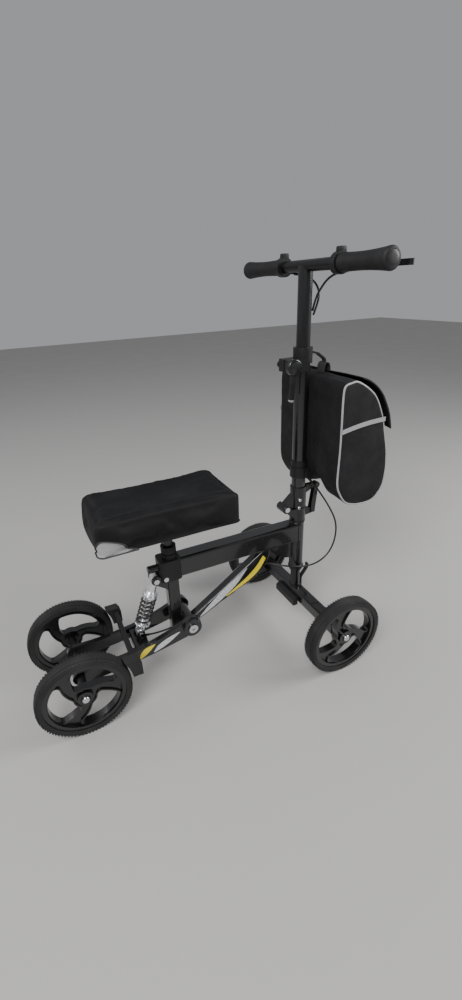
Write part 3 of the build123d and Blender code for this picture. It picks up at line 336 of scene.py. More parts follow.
# ---- Junction cover, collars and clamp bodies -------------------------------------------------------
# Injection moulded dark plastic with a fine spark-eroded grain: the cover over the seat tube joint,
# the seat clamp collar, the two collars on the column and the lever clamps.
dark_plastic = Finish("dark_moulded_plastic", (0.008, 0.008, 0.0085), 0.45, Specular_IOR_Level=0.35)
dark_plastic.roughen(0.38, 0.55, 30.0, 4.0)
dark_plastic.fleck((0.018, 0.018, 0.019), 0.5, 0.8, 0.6, 14.0, 5.0)
dark_plastic.grain(0.0002, 0.5, 1300.0, 2.0)
dress(dark_plastic, "junction_cover", "seat_collar", "lower_collar", "upper_clamp", "lever_clamps")
knob_plastic = Finish("gloss_knob_plastic", (0.014, 0.014, 0.015), 0.2, Coat_Weight=0.3)
knob_plastic.roughen(0.15, 0.3, 40.0)
knob_plastic.grain(0.0001, 0.3, 500.0)
dress(knob_plastic, "seat_height_knob")

# ---- Headset cups -----------------------------------------------------------------------------------
# Pressed steel cups, blacked, at both ends of the head tube, with a light turned grain round them.
blacked_steel = Finish("blacked_steel", (0.014, 0.014, 0.0145), 0.38, 0.3)
blacked_steel.roughen(0.28, 0.48, 50.0, 4.0)
blacked_steel.grain(0.0001, 0.4, 200.0, 2.0, (1.0, 1.0, 12.0))
dress(blacked_steel, "headset_cups", "brake_bar", "axle_bracket", "cable_guide", "bag_hanger", "seat_plate")

# ---- Bright bolts, axles and nuts -------------------------------------------------------------------
# Zinc and chrome plated steel: frame and shock bolts, the pivot bolt, the hinge pin, and the axles
# with their domed nuts. The wheel bearings behind them have blacked shields.
chrome = Finish("chrome_plate", (0.72, 0.72, 0.74), 0.12, 1.0)
chrome.feed("Roughness", chrome.between(chrome.noise(90.0, 4.0), 0.3, 0.75, 0.08, 0.26))
chrome.fleck((0.45, 0.44, 0.42), 0.6, 0.8, 0.5, 35.0, 5.0)
chrome.grain(0.00005, 0.3, 700.0)
dress(chrome, "frame_bolts", "pivot_bolt", "shock_pin", "hinge_pin", "rear_axle", "front_axles")
dress(
    blacked_steel, "bearings_rear_left", "bearings_rear_right", "bearings_front_left", "bearings_front_right"
)


# The spacers between the frame and the hubs are blacked; only the axle ends and nuts are bright.
for node, y_hub in (("rear_axle", 0.095), ("front_axles", 0.205)):
    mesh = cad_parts[node].data
    mesh.materials.append(blacked_steel.material)
    for polygon in mesh.polygons:
        if abs(polygon.center.y) < y_hub:
            polygon.material_index = 1


def turned(profile, centre, axis, around=32):
    """A shape turned on a lathe from (distance along the axis, radius) pairs; both ends close to a point."""
    axis = Vector(axis).normalized()
    side = axis.orthogonal().normalized()
    up = axis.cross(side)
    points = []
    for along, radius in profile:
        for j in range(around):
            turn = 2 * pi * j / around
            points.append(Vector(centre) + axis * along + radius * (side * cos(turn) + up * sin(turn)))
    return points, rings_to_faces(len(profile), around)


bolt_profile = [
    (0, 0.0001), (0, 0.0042), (0.0022, 0.0042), (0.003, 0.0036),
    (0.003, 0.0022), (0.0016, 0.002), (0.0016, 0.0001),
]
for k, (y, z, body) in enumerate(((-0.0185, 0.381, "column"), (-0.0165, 0.359, "steerer"))):
    points, faces = turned(bolt_profile, (head_x - 0.007, y, z), (0, -1, 0), 24)
    add_piece(f"hinge_screw_{k}", points, faces, chrome, body)

# ---- Shock absorber ---------------------------------------------------------------------------------
# Turned and anodised aluminium body and rod ends with a black oil-tempered coil spring between two spring
# seats. The spring is its own coil, riding with the shock's upper body.
shock_alloy = Finish("shock_alloy", (0.82, 0.83, 0.85), 0.24, 0.9)
shock_alloy.roughen(0.16, 0.34, 60.0, 4.0)
shock_alloy.grain(0.00004, 0.3, 260.0, 2.0, (1.0, 1.0, 8.0))
dress(shock_alloy, "shock_body", "shock_rod")
eye_top = Vector((rear_x + 0.201, 0, 0.268))
eye_foot = Vector((rear_x + 0.150, 0, 0.132))
shock_line = (eye_foot - eye_top).normalized()
spring_steel = Finish("spring_steel", (0.02, 0.02, 0.021), 0.25, 0.4, Coat_Weight=0.4)
spring_steel.roughen(0.18, 0.34, 70.0)
spring_steel.grain(0.0001, 0.3, 500.0)
coil_side = Vector((0, 1, 0))
coil_up = shock_line.cross(coil_side)
coil = []
for k in range(6 * 36 + 1):
    turn = 2 * pi * k / 36
    along = 0.0504 + 0.0652 * k / (6 * 36)
    coil.append(eye_top + shock_line * along + 0.0155 * (coil_side * cos(turn) + coil_up * sin(turn)))
points, faces = bead(coil, 0.0024, 12)
spring = add_piece("shock_coil", points, faces, spring_steel, "shock_upper")
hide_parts("shock_spring")
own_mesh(spring)
shock_rings = (
    (0.0375, 0.0163, "shock_upper"), (0.0425, 0.0140, "shock_upper"), (0.1195, 0.0183, "shock_lower"),
)
for k, (from_eye, radius, body) in enumerate(shock_rings):
    ring = []
    for j in range(48):
        turn = 2 * pi * j / 48
        ring.append(eye_top + shock_line * from_eye + radius * (coil_side * cos(turn) + coil_up * sin(turn)))
    points, faces = bead(ring, 0.0007, 8, wrap=True)
    add_piece(f"shock_ring_{k}", points, faces, shock_alloy, body)

# ---- Swing arm --------------------------------------------------------------------------------------
# Two laser-cut steel rails with turned bosses, painted with the frame, and the welded block that
# carries the shock's foot. Each rail has a yellow and a silver vinyl stroke on its outer face.
dress(black_paint, "swing_rails", "shock_mount")
rail_face = 0.0481
short_low = [(133, 93, 0), (147, 100, 0), (160, 110, 0), (172, 122, 0)]
short_high = [(132, 95, 0), (136, 108, 0), (148, 119, 0), (170, 123, 0)]
long_low = [(168, 99, 0), (190, 106, 0), (212, 117, 0), (234, 132, 0)]
long_high = [(166, 101, 0), (178, 115, 0), (200, 126, 0), (232, 134, 0)]
for side, word in ((1, "left"), (-1, "right")):
    decal(f"decal_rail_yellow_{word}", short_low, short_high, side * rail_face, yellow_vinyl, "swing_arm")
    decal(f"decal_rail_silver_{word}", long_low, long_high, side * rail_face, silver_vinyl, "swing_arm")

# ---- Brake bar and shoes ----------------------------------------------------------------------------
# Moulded black rubber shoes on the blacked cross bar, with paler flecks scattered over them.
black_rubber = Finish("black_rubber", (0.01, 0.01, 0.0105), 0.75)
black_rubber.roughen(0.62, 0.85, 25.0, 5.0)
black_rubber.fleck((0.025, 0.0245, 0.024), 0.5, 0.8, 0.7, 18.0, 6.0)
black_rubber.grain(0.0003, 0.5, 800.0, 2.0)
dress(black_rubber, "brake_shoes")

# ---- Wheels -----------------------------------------------------------------------------------------
# Glossy moulded rims with three swept spokes, and solid rubber tyres pressed onto them. Small moulded
# lugs run round both shoulders of each tyre.
rim_plastic = Finish("gloss_rim_plastic", (0.004, 0.004, 0.0045), 0.2, Coat_Weight=0.4, Coat_Roughness=0.1)
rim_plastic.roughen(0.15, 0.34, 12.0, 5.0)
rim_plastic.fleck((0.014, 0.014, 0.0145), 0.55, 0.8, 0.4, 22.0, 6.0)
rim_plastic.grain(0.0001, 0.3, 350.0)
tyre_rubber = Finish("solid_tyre_rubber", (0.009, 0.009, 0.0095), 0.8)
tyre_rubber.roughen(0.6, 0.9, 20.0, 6.0)
tyre_rubber.fleck((0.032, 0.031, 0.03), 0.5, 0.8, 0.8, 14.0, 7.0)
tyre_rubber.grain(0.0006, 0.6, 260.0, 4.0)

lug_tree = bpy.data.node_groups.new("tyre_lugs", "GeometryNodeTree")
lug_tree.interface.new_socket("Mesh", in_out="OUTPUT", socket_type="NodeSocketGeometry")
lug_inputs = {}
for label, kind, value in (
    ("Lugs", "NodeSocketInt", 84),
    ("Ring radius", "NodeSocketFloat", 0.0985),
    ("Lug width", "NodeSocketFloat", 0.003),
    ("Lug length", "NodeSocketFloat", 0.005),
    ("Lug height", "NodeSocketFloat", 0.0016),
):
    socket = lug_tree.interface.new_socket(label, in_out="INPUT", socket_type=kind)
    socket.default_value = value
    lug_inputs[label] = socket.identifier
given = lug_tree.nodes.new("NodeGroupInput")
result = lug_tree.nodes.new("NodeGroupOutput")
ring = lug_tree.nodes.new("GeometryNodeCurvePrimitiveCircle")
spots = lug_tree.nodes.new("GeometryNodeCurveToPoints")
size = lug_tree.nodes.new("ShaderNodeCombineXYZ")
lug = lug_tree.nodes.new("GeometryNodeMeshCube")
place = lug_tree.nodes.new("GeometryNodeInstanceOnPoints")
real = lug_tree.nodes.new("GeometryNodeRealizeInstances")
painted = lug_tree.nodes.new("GeometryNodeSetMaterial")
painted.inputs["Material"].default_value = tyre_rubber.material
for a, b in (
    (given.outputs["Ring radius"], ring.inputs["Radius"]),
    (ring.outputs["Curve"], spots.inputs["Curve"]),
    (given.outputs["Lugs"], spots.inputs["Count"]),
    (given.outputs["Lug height"], size.inputs["X"]),
    (given.outputs["Lug length"], size.inputs["Y"]),
    (given.outputs["Lug width"], size.inputs["Z"]),
    (size.outputs["Vector"], lug.inputs["Size"]),
    (spots.outputs["Points"], place.inputs["Points"]),
    (lug.outputs["Mesh"], place.inputs["Instance"]),
    (spots.outputs["Rotation"], place.inputs["Rotation"]),
    (place.outputs["Instances"], real.inputs["Geometry"]),
    (real.outputs["Geometry"], painted.inputs["Geometry"]),
    (painted.outputs["Geometry"], result.inputs["Mesh"]),
):
    lug_tree.links.new(a, b)


def grown(tree, inputs, values, name, base=None):
    """Runs a node tree on a piece and hands back the plain mesh it makes."""
    host = bpy.data.objects.new(name + "_host", base or bpy.data.meshes.new(name + "_host"))
    bpy.context.scene.collection.objects.link(host)
    modifier = host.modifiers.new("grow", "NODES")
    modifier.node_group = tree
    for label, value in values.items():
        modifier[inputs[label]] = value
    bpy.context.view_layer.update()
    seen = host.evaluated_get(bpy.context.evaluated_depsgraph_get())
    mesh = bpy.data.meshes.new_from_object(seen)
    mesh.name = name
    bpy.data.objects.remove(host)
    return mesh


lug_mesh = grown(lug_tree, lug_inputs, {"Lugs": 84, "Ring radius": 0.0981}, "tyre_lugs")
for corner, body in (
    ("rear_left", "wheel_rear_left"), ("rear_right", "wheel_rear_right"),
    ("front_left", "wheel_front_left"), ("front_right", "wheel_front_right"),
):
    dress(rim_plastic, f"rim_{corner}")
    dress(tyre_rubber, f"tyre_{corner}")
    low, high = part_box(f"tyre_{corner}")
    middle = (low + high) / 2
    both = bmesh.new()
    for way in (1, -1):
        part = lug_mesh.copy()
        upright = Matrix.Rotation(pi / 2, 4, "X") @ Matrix.Rotation(way * 0.02, 4, "Z")
        part.transform(Matrix.Translation(middle + Vector((0, way * 0.0128, 0))) @ upright)
        both.from_mesh(part)
    mesh = bpy.data.meshes.new(f"tyre_lugs_{corner}")
    both.to_mesh(mesh)
    both.free()
    mesh.materials.append(tyre_rubber.material)
    lugs = bpy.data.objects.new(f"tyre_lugs_{corner}", mesh)
    bpy.context.scene.collection.objects.link(lugs)
    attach(lugs, body)

# ---- Seat post --------------------------------------------------------------------------------------
# A drawn steel post in gloss black that slides in the seat tube, with streaks of lightly rubbed paint along
# its length. The stem tube and steerer tube share the finish.
rubbed_paint = Finish("rubbed_black_paint", (0.005, 0.005, 0.0055), 0.22, Coat_Weight=0.4, Coat_Roughness=0.06)
rubbed_paint.roughen(0.18, 0.4, 30.0, 4.0, (1.0, 1.0, 0.15))
rubbed_paint.fleck((0.018, 0.018, 0.019), 0.6, 0.8, 0.5, 60.0, 6.0, (1.0, 1.0, 0.08))
rubbed_paint.grain(0.0001, 0.3, 400.0)
dress(rubbed_paint, "seat_post", "stem_tube", "steerer_tube")

# ---- Padded rest ------------------------------------------------------------------------------------
# A dense foam block in a matt black cover with a shallow valley along its top. The cover's hem is cut
# away at the rear right corner, where a pale lower cushion layer and its dark binding show.
cover = Finish("pad_cover", (0.005, 0.005, 0.0056), 0.55, Specular_IOR_Level=0.22)
cover.fleck((0.013, 0.013, 0.014), 0.45, 0.75, 0.7, 16.0, 6.0)
grain = cover.node("ShaderNodeTexVoronoi", {}, {"Vector": cover.place(), "Scale": 900.0})
cover.roughen(0.5, 0.72, 40.0, 4.0)
cover.bump(grain + cover.noise(120.0, 4.0) * 0.8, 0.0003, 0.5)
pad_low, pad_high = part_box("seat_pad")
pad_mid = (pad_low + pad_high) / 2
valley = 0.010


def pad_block(shrink, floor, roof, corner):
    """Points and faces of the rest's block: rounded in plan, with its top dished along its length."""
    half_x = (pad_high.x - pad_low.x) / 2 - shrink
    half_y = (pad_high.y - pad_low.y) / 2 - shrink
    outline = []
    for centre_x, centre_y, start in (
        (half_x - corner, half_y - corner, 0), (corner - half_x, half_y - corner, 90),
        (corner - half_x, corner - half_y, 180), (half_x - corner, corner - half_y, 270),
    ):
        for k in range(9):
            turn = radians(start + 90 * k / 8)
            outline.append((centre_x + corner * cos(turn), centre_y + corner * sin(turn)))
    points = []
    for level, inset in ((0.0, 0.004), (0.03, 0.0), (0.5, 0.0), (0.93, 0.0), (0.985, 0.003), (1.0, 0.007)):
        for x, y in outline:
            far = Vector((x, y)).normalized() * inset
            dish = valley * (1 - (y / half_y) ** 2) if level > 0.5 else 0.0
            points.append((pad_mid.x + x - far.x, y - far.y, floor + (roof - floor) * level - dish))
    count = len(outline)
    faces = rings_to_faces(6, count, ends=False)
    faces.append(tuple(range(count - 1, -1, -1)))
    top = len(points)
    spokes = 5
    for k in range(1, spokes + 1):
        for x, y in outline:
            shrinkage = 1 - k / (spokes + 1)
            px, py = x * shrinkage, y * shrinkage
            points.append((pad_mid.x + px, py, roof - valley * (1 - (py / half_y) ** 2)))
    first = 5 * count
    for k in range(spokes):
        a = first if k == 0 else top + (k - 1) * count
        b = top + k * count
        for j in range(count):
            n = (j + 1) % count
            faces.append((a + j, a + n, b + n, b + j))
    faces.append(tuple(range(top + (spokes - 1) * count, top + spokes * count)))
    return points, faces


def settled(piece):
    """The plain mesh that a piece's modifiers make, with the modifiers taken off the piece."""
    bpy.context.view_layer.update()
    seen = piece.evaluated_get(bpy.context.evaluated_depsgraph_get())
    mesh = bpy.data.meshes.new_from_object(seen)
    piece.modifiers.clear()
    return mesh


points, faces = pad_block(0.004, pad_low.z + 0.003, pad_high.z - 0.004, 0.016)
pad = add_piece("rest_cover", points, faces, cover, None, 180)
remesh = pad.modifiers.new("even", "REMESH")
remesh.mode, remesh.voxel_size = "VOXEL", 0.005
pad.data = settled(pad)
start = [v.co.copy() for v in pad.data.vertices]
cloth = pad.modifiers.new("stuffed", "CLOTH")
cloth.settings.use_pressure = True
cloth.settings.uniform_pressure_force = 4.0
cloth.settings.effector_weights.gravity = 0.0
cloth.settings.quality = 4
for step in range(1, 21):
    bpy.context.scene.frame_set(step)
full = settled(pad)
bpy.context.scene.frame_set(1)
for vertex, before in zip(full.vertices, start):
    move = vertex.co - before
    # the underside lies flat on its plate, so it hardly moves; the rest may swell by a few millimetres
    most = 0.001 if before.z < pad_low.z + 0.008 else 0.006
    if move.length > most:
        move = move.normalized() * most
    vertex.co = before + move
pad.data = full
skin = bmesh.new()
skin.from_mesh(pad.data)
long_edges = [e for e in skin.edges if e.calc_length() > 0.02]
bmesh.ops.subdivide_edges(skin, edges=long_edges, cuts=2, use_grid_fill=True)
corner_back = Vector((pad_low.x - 0.004, pad_low.y - 0.004, pad_low.z + 0.066))
corner_along = Vector((pad_low.x + 0.122, pad_low.y - 0.004, pad_low.z - 0.001))
corner_across = Vector((pad_low.x - 0.004, pad_low.y + 0.046, pad_low.z - 0.001))
cut_normal = (corner_along - corner_back).cross(corner_across - corner_back).normalized()
if cut_normal.dot(Vector((pad_low.x, pad_low.y, pad_low.z)) - corner_back) < 0:
    cut_normal = -cut_normal
lower = skin.copy()
for vertex, outer in zip(lower.verts, skin.verts):
    vertex.co = outer.co - outer.normal * 0.0018
cut = bmesh.ops.bisect_plane(
    skin, geom=skin.verts[:] + skin.edges[:] + skin.faces[:], plane_co=corner_back,
    plane_no=cut_normal, clear_outer=True,
)
rim_edges = [e for e in cut["geom_cut"] if isinstance(e, bmesh.types.BMEdge)]
hem_line = []
if rim_edges:
    walk, vertex = set(rim_edges), rim_edges[0].verts[0]
    while walk:
        following = [e for e in vertex.link_edges if e in walk]
        if not following:
            break
        walk.discard(following[0])
        hem_line.append(vertex.co.copy())
        vertex = following[0].other_vert(vertex)
    bmesh.ops.holes_fill(skin, edges=rim_edges, sides=0)
bmesh.ops.recalc_face_normals(skin, faces=skin.faces)
skin.to_mesh(pad.data)
skin.free()
pad.data.materials.clear()
pad.data.materials.append(cover.material)
pad.data.shade_smooth()
pad.data.set_sharp_from_angle(angle=radians(50))
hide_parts("seat_pad")
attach(pad, "seat")

under_cloth = Finish("under_cloth", (0.42, 0.42, 0.43), 0.85)
weft = under_cloth.wave(420.0, "X", 0.6)
warp = under_cloth.wave(420.0, "Z", 0.6)
under_cloth.tint(under_cloth.between(weft * warp, 0.1, 0.7, 0.0, 0.7), (0.2, 0.2, 0.21))
under_cloth.roughen(0.75, 0.95, 60.0)
under_cloth.bump(weft + warp, 0.0004, 0.6)
binding = Finish("dark_binding", (0.03, 0.03, 0.032), 0.7)
binding.roughen(0.6, 0.8, 90.0)
binding.fleck((0.07, 0.07, 0.07), 0.5, 0.8, 0.6, 30.0, 5.0)
binding.bump(binding.wave(500.0, "X", 0.4), 0.0003, 0.5)
inner_cut = bmesh.ops.bisect_plane(
    lower, geom=lower.verts[:] + lower.edges[:] + lower.faces[:], plane_co=corner_back - cut_normal * 0.006,
    plane_no=cut_normal, clear_inner=True,
)
inner_edges = [e for e in inner_cut["geom_cut"] if isinstance(e, bmesh.types.BMEdge)]
bmesh.ops.holes_fill(lower, edges=inner_edges, sides=0)
bmesh.ops.recalc_face_normals(lower, faces=lower.faces)
points, faces = loose(lower)
under = add_piece("rest_under_layer", points, faces, under_cloth, "seat", 60)
if len(hem_line) > 6:
    points, faces = bead(hem_line, 0.0014, 8, wrap=True)
    add_piece("rest_hem_binding", points, faces, binding, "seat")
foot_line = [(pad_low.x + 0.0055, pad_low.y + 0.036, pad_low.z + 0.005)]
for k in range(9):
    turn = radians(180 + 90 * k / 8)
    foot_line.append(
        (pad_low.x + 0.020 + 0.0147 * cos(turn), pad_low.y + 0.020 + 0.0147 * sin(turn), pad_low.z + 0.005)
    )
foot_line.append((pad_low.x + 0.085, pad_low.y + 0.0055, pad_low.z + 0.005))
points, faces = bead(curve_through(foot_line, 3), 0.0017, 8)
add_piece("rest_foot_binding", points, faces, binding, "seat")

# ---- Front axle beam, steerer and their brackets ------------------------------------------------------
# A square steel tube across the front with the steerer welded on top of it, painted with the frame.
# The bent strap in front guides the brake cable, and the angle behind stiffens the beam.
dress(black_paint, "front_axle_beam")
beam_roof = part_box("front_axle_beam")[1].z
weld(
    "weld_steerer",
    [(head_x + 0.0133 * cos(a * 0.2), 0.0133 * sin(a * 0.2), beam_roof + 0.0008) for a in range(33)],
    "steerer",
)

# ---- Folding hinge and latch --------------------------------------------------------------------------
# Cast and machined steel blocks, painted gloss black, and the latch lever that draws them together, with small
# ridges across the lever's top.
cast_paint = Finish("painted_casting", (0.006, 0.006, 0.0065), 0.28, 0.1, Coat_Weight=0.4, Coat_Roughness=0.12)
cast_paint.roughen(0.22, 0.42, 40.0, 5.0)
cast_paint.fleck((0.02, 0.02, 0.021), 0.6, 0.8, 0.5, 50.0, 6.0)
cast_paint.grain(0.0004, 0.5, 240.0, 4.0)
dress(cast_paint, "hinge_base", "hinge_top", "latch_lever")
latch_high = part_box("latch_lever")[1]
for k in range(5):
    z = latch_high.z - 0.010 - 0.005 * k
    x = latch_high.x - 0.0035 - 0.0006 * k
    points, faces = bead([(x, -0.006, z), (x, -0.003, z), (x, 0.003, z), (x, 0.006, z)], 0.0008, 8)
    add_piece(f"latch_ridge_{k}", points, faces, cast_paint, "latch")

# ---- Column ---------------------------------------------------------------------------------------------
# A drawn steel tube in the same gloss black as the frame.
dress(black_paint, "column_tube")
dress(cast_paint, "clamp_lever")
dial_centre = Vector((head_x - 0.040, -0.022, 0.703))
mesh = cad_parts["clamp_lever"].data
mesh.materials.append(chrome.material)
reach = max(Vector((v.co.x - dial_centre.x, v.co.z - dial_centre.z)).length for v in mesh.vertices)
for polygon in mesh.polygons:
    away = Vector((polygon.center.x - dial_centre.x, polygon.center.z - dial_centre.z)).length
    if away > 0.93 * reach:
        polygon.material_index = 1
ring_line = []
for j in range(48):
    turn = 2 * pi * j / 48
    ring_line.append(dial_centre + Vector((0.0145 * cos(turn), -0.0118, 0.0145 * sin(turn))))
points, faces = bead(ring_line, 0.0006, 8, wrap=True)
add_piece("dial_ring", points, faces, knob_plastic, "dial")
cap_profile = [(0, 0.0001), (0, 0.0125), (0.0012, 0.0118), (0.0018, 0.009), (0.002, 0.0001)]
points, faces = turned(cap_profile, dial_centre + Vector((0, -0.0117, 0)), (0, -1, 0), 40)
add_piece("dial_cap", points, faces, knob_plastic, "dial")

# ---- Front bag ------------------------------------------------------------------------------------------
# A sewn nylon bag that hangs from the column's hook. Two flat end panels are piped to a wide gusset that
# bulges at the front and sags at the bottom, where it arches over the folding hinge.
nylon = Finish("black_bag_nylon", (0.0055, 0.0055, 0.0062), 0.62, Specular_IOR_Level=0.3)
across = nylon.wave(520.0, "X", 0.3)
upright = nylon.wave(520.0, "Z", 0.3)
sideways = nylon.wave(520.0, "Y", 0.3)
nylon.fleck((0.014, 0.014, 0.016), 0.42, 0.75, 0.8, 20.0, 6.0)
nylon.roughen(0.55, 0.8, 36.0, 5.0)
nylon.bump(across * upright + sideways * 0.5 + nylon.noise(45.0, 4.0) * 1.5, 0.0006, 0.6)
outline_mm = [
    (27, 456), (27, 520), (27, 600), (27, 655), (31, 674), (44, 679), (63, 680), (104, 664), (138, 637),
    (160, 601), (172, 560), (178, 530), (180, 500), (179, 468), (174, 436), (167, 415), (155, 399),
    (138, 389), (118, 386), (86, 389), (57, 400), (38, 424),
]
bag_line = [(p.x / 1000, p.y / 1000) for p in curve_through([(x, z, 0) for x, z in outline_mm], 6, True)]
bag_centre = (0.105, 0.535)


def bag_point(x, z, y, inset):
    """A point of the bag's skin: drawn in by inset, rumpled a little, and arched over the hinge."""
    reach = Vector((x - bag_centre[0], z - bag_centre[1]))
    short = reach * (1 - inset / reach.length)
    px, pz = bag_centre[0] + short.x, bag_centre[1] + short.y
    # the end panels are narrower than the gusset between them, at the front more than at the back
    drawn = min(1.0, abs(y) / 0.1195)
    forward = max(0.0, min(1.0, (px - 0.06) / 0.09))
    high = max(0.0, min(1.0, (pz - 0.43) / 0.13))
    px -= (0.015 + 0.014 * high) * forward * drawn**3 + 0.008 * (1 - forward) * drawn**2
    rumple = noise.noise(Vector((px * 14, y * 12, pz * 16))) * 0.0022
    rumple += noise.noise(Vector((px * 40, y * 30, pz * 46 + 3))) * 0.0009
    edge = min(1.0, abs(px - 0.027) / 0.02)
    away = Vector((px - bag_centre[0], pz - bag_centre[1])).normalized()
    px += away.x * (rumple * edge - 0.0008 * edge)
    pz += away.y * (rumple - 0.0008)
    near = max(0.0, min(1.0, (0.052 - abs(y)) / 0.024))
    front = max(0.0, min(1.0, (0.136 - px) / 0.03))
    arch = near * near * (3 - 2 * near) * front
    floor = 0.4235 + 0.034 * max(0.0, 1 - (px - 0.027) / 0.05)
    if pz < floor:
        pz += (floor - pz) * arch
    return Vector((head_x + px, y, pz))


def thicken(piece, offset):
    """Gives a sheet the thickness of its cloth, outwards for an offset of 1 and inwards for -1."""
    wall = piece.modifiers.new("cloth_thickness", "SOLIDIFY")
    wall.thickness, wall.offset = 0.0022, offset
    piece.data = settled(piece)


stations = [(-0.1205, 0.0030), (-0.1190, 0.0006)]
stations += [(-0.1170 + 0.0065 * k, 0.0) for k in range(36)]
stations += [(0.1155, 0.0015), (0.1188, 0.0050), (0.1205, 0.0095)]
around = len(bag_line)
bag_points, bag_faces = [], []
for inset_scale in (0.12, 0.4, 0.7, 0.93):
    for x, z in bag_line:
        reach = Vector((x - bag_centre[0], z - bag_centre[1])).length
        bulge = -0.1218 - 0.0015 * cos(pi * inset_scale / 2)
        bag_points.append(bag_point(x, z, bulge, reach * (1 - inset_scale)))
for y, inset in stations:
    for x, z in bag_line:
        bag_points.append(bag_point(x, z, y, inset))
for inset_scale in (0.93, 0.7, 0.4, 0.12):
    for x, z in bag_line:
        reach = Vector((x - bag_centre[0], z - bag_centre[1])).length
        bulge = 0.1222 + 0.0015 * cos(pi * inset_scale / 2)
        bag_points.append(bag_point(x, z, bulge, reach * (1 - inset_scale)))
rows = len(bag_points) // around
for face in rings_to_faces(rows, around):
    middle = sum((bag_points[i] for i in face), Vector()) / len(face)
    if len(face) == 4 and middle.x > head_x + 0.072 and middle.z > 0.598 and abs(middle.y) < 0.09:
        continue
    bag_faces.append(face)
bag_skin = add_piece("bag_skin", bag_points, bag_faces, nylon, None, 60)
thicken(bag_skin, -1.0)
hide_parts("bag")
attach(bag_skin, "column")

# The flap is a stiffened panel sewn along the top of the bag. It follows the gusset down the front and is
# bound with tape along its two sides and its free front edge.
def flap_spot(x, z, y, lift):
    """Where the flap lies over a point of the bag's outline, drawn in towards the end panels."""
    away = Vector((x - bag_centre[0], z - bag_centre[1])).normalized()
    drawn = 0.013 * (abs(y) / 0.1165) ** 3 * max(0.0, min(1.0, (x - 0.08) / 0.07))
    return head_x + x - drawn + away.x * lift, z + away.y * lift


flap_line = [(x, z) for x, z in bag_line if x >= 0.0725 and z > 0.556]
flap_points, flap_faces = [], []
flap_rows = 41
for k in range(flap_rows):
    y = -0.1165 + 0.233 * k / (flap_rows - 1)
    for x, z in flap_line:
        lift = 0.0040 + 0.0012 * noise.noise(Vector((x * 20, y * 16, z * 20 + 7)))
        edge = max(0.0, (abs(y) - 0.105) / 0.0115)
        lift -= 0.0014 * edge * edge
        fx, fz = flap_spot(x, z, y, lift)
        flap_points.append((fx, y, fz))
across_count = len(flap_line)
for k in range(flap_rows - 1):
    for j in range(across_count - 1):
        a = k * across_count + j
        flap_faces.append((a, a + 1, a + across_count + 1, a + across_count))
flap = add_piece("bag_flap_skin", flap_points, flap_faces, nylon, None, 60)
middle_normal = flap.data.polygons[len(flap.data.polygons) // 2].normal
if middle_normal.x + middle_normal.z < 0:
    flap.data.flip_normals()
thicken(flap, 1.0)
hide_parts("bag_flap")
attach(flap, "flap")
tape = Finish("black_edge_tape", (0.009, 0.009, 0.01), 0.65)
tape.roughen(0.55, 0.75, 80.0)
tape.fleck((0.05, 0.05, 0.053), 0.5, 0.8, 0.6, 25.0, 5.0)
tape.bump(tape.wave(600.0, "Z", 0.4) + tape.wave(600.0, "Y", 0.4), 0.0003, 0.5)


def flap_edge(x, z, y=0.1165):
    return flap_spot(x, z, y, 0.0045)


edge_line = []
for x, z in flap_line:
    fx, fz = flap_edge(x, z)
    edge_line.append((fx, -0.1168, fz))
for k in range(1, 24):
    y = -0.1168 + 0.2336 * k / 24
    fx, fz = flap_edge(*flap_line[-1], y)
    edge_line.append((fx, y, fz))
for x, z in reversed(flap_line):
    fx, fz = flap_edge(x, z)
    edge_line.append((fx, 0.1168, fz))
points, faces = bead(edge_line, 0.0019, 8)
add_piece("bag_flap_tape", points, faces, tape, "flap")

# Reflective piping runs round the near end panel, and one reflective tape is sewn across it. The far
# end is piped the same way.
reflective = Finish("reflective_piping", (0.36, 0.36, 0.37), 0.4, 0.1)
reflective.roughen(0.3, 0.5, 110.0, 4.0)
reflective.fleck((0.28, 0.28, 0.29), 0.45, 0.75, 0.7, 40.0, 5.0)
beads = reflective.node("ShaderNodeTexVoronoi", {}, {"Vector": reflective.place(), "Scale": 1400.0})
reflective.bump(beads, 0.0002, 0.5)
for side, word in ((-1, "right"), (1, "left")):
    piping = [bag_point(x, z, side * 0.1195, 0.0030 if side < 0 else 0.0085) for x, z in bag_line]
    points, faces = bead(piping, 0.0022, 10, wrap=True)
    add_piece(f"bag_piping_{word}", points, faces, reflective, "column")
    strip_low, strip_high = [], []
    for k in range(25):
        share = k / 24
        x = 0.0215 + 0.1160 * share
        z = 0.576 + 0.012 * share + 0.003 * sin(pi * share)
        strip_low.append(Vector((head_x + x, side * 0.1234, z - 0.005)))
        strip_high.append(Vector((head_x + x, side * 0.1234, z + 0.005)))
    points, faces = slab(strip_low, strip_high, Vector((0, side * 0.0008, 0)))
    add_piece(f"bag_stripe_{word}", points, faces, reflective, "column", 30)

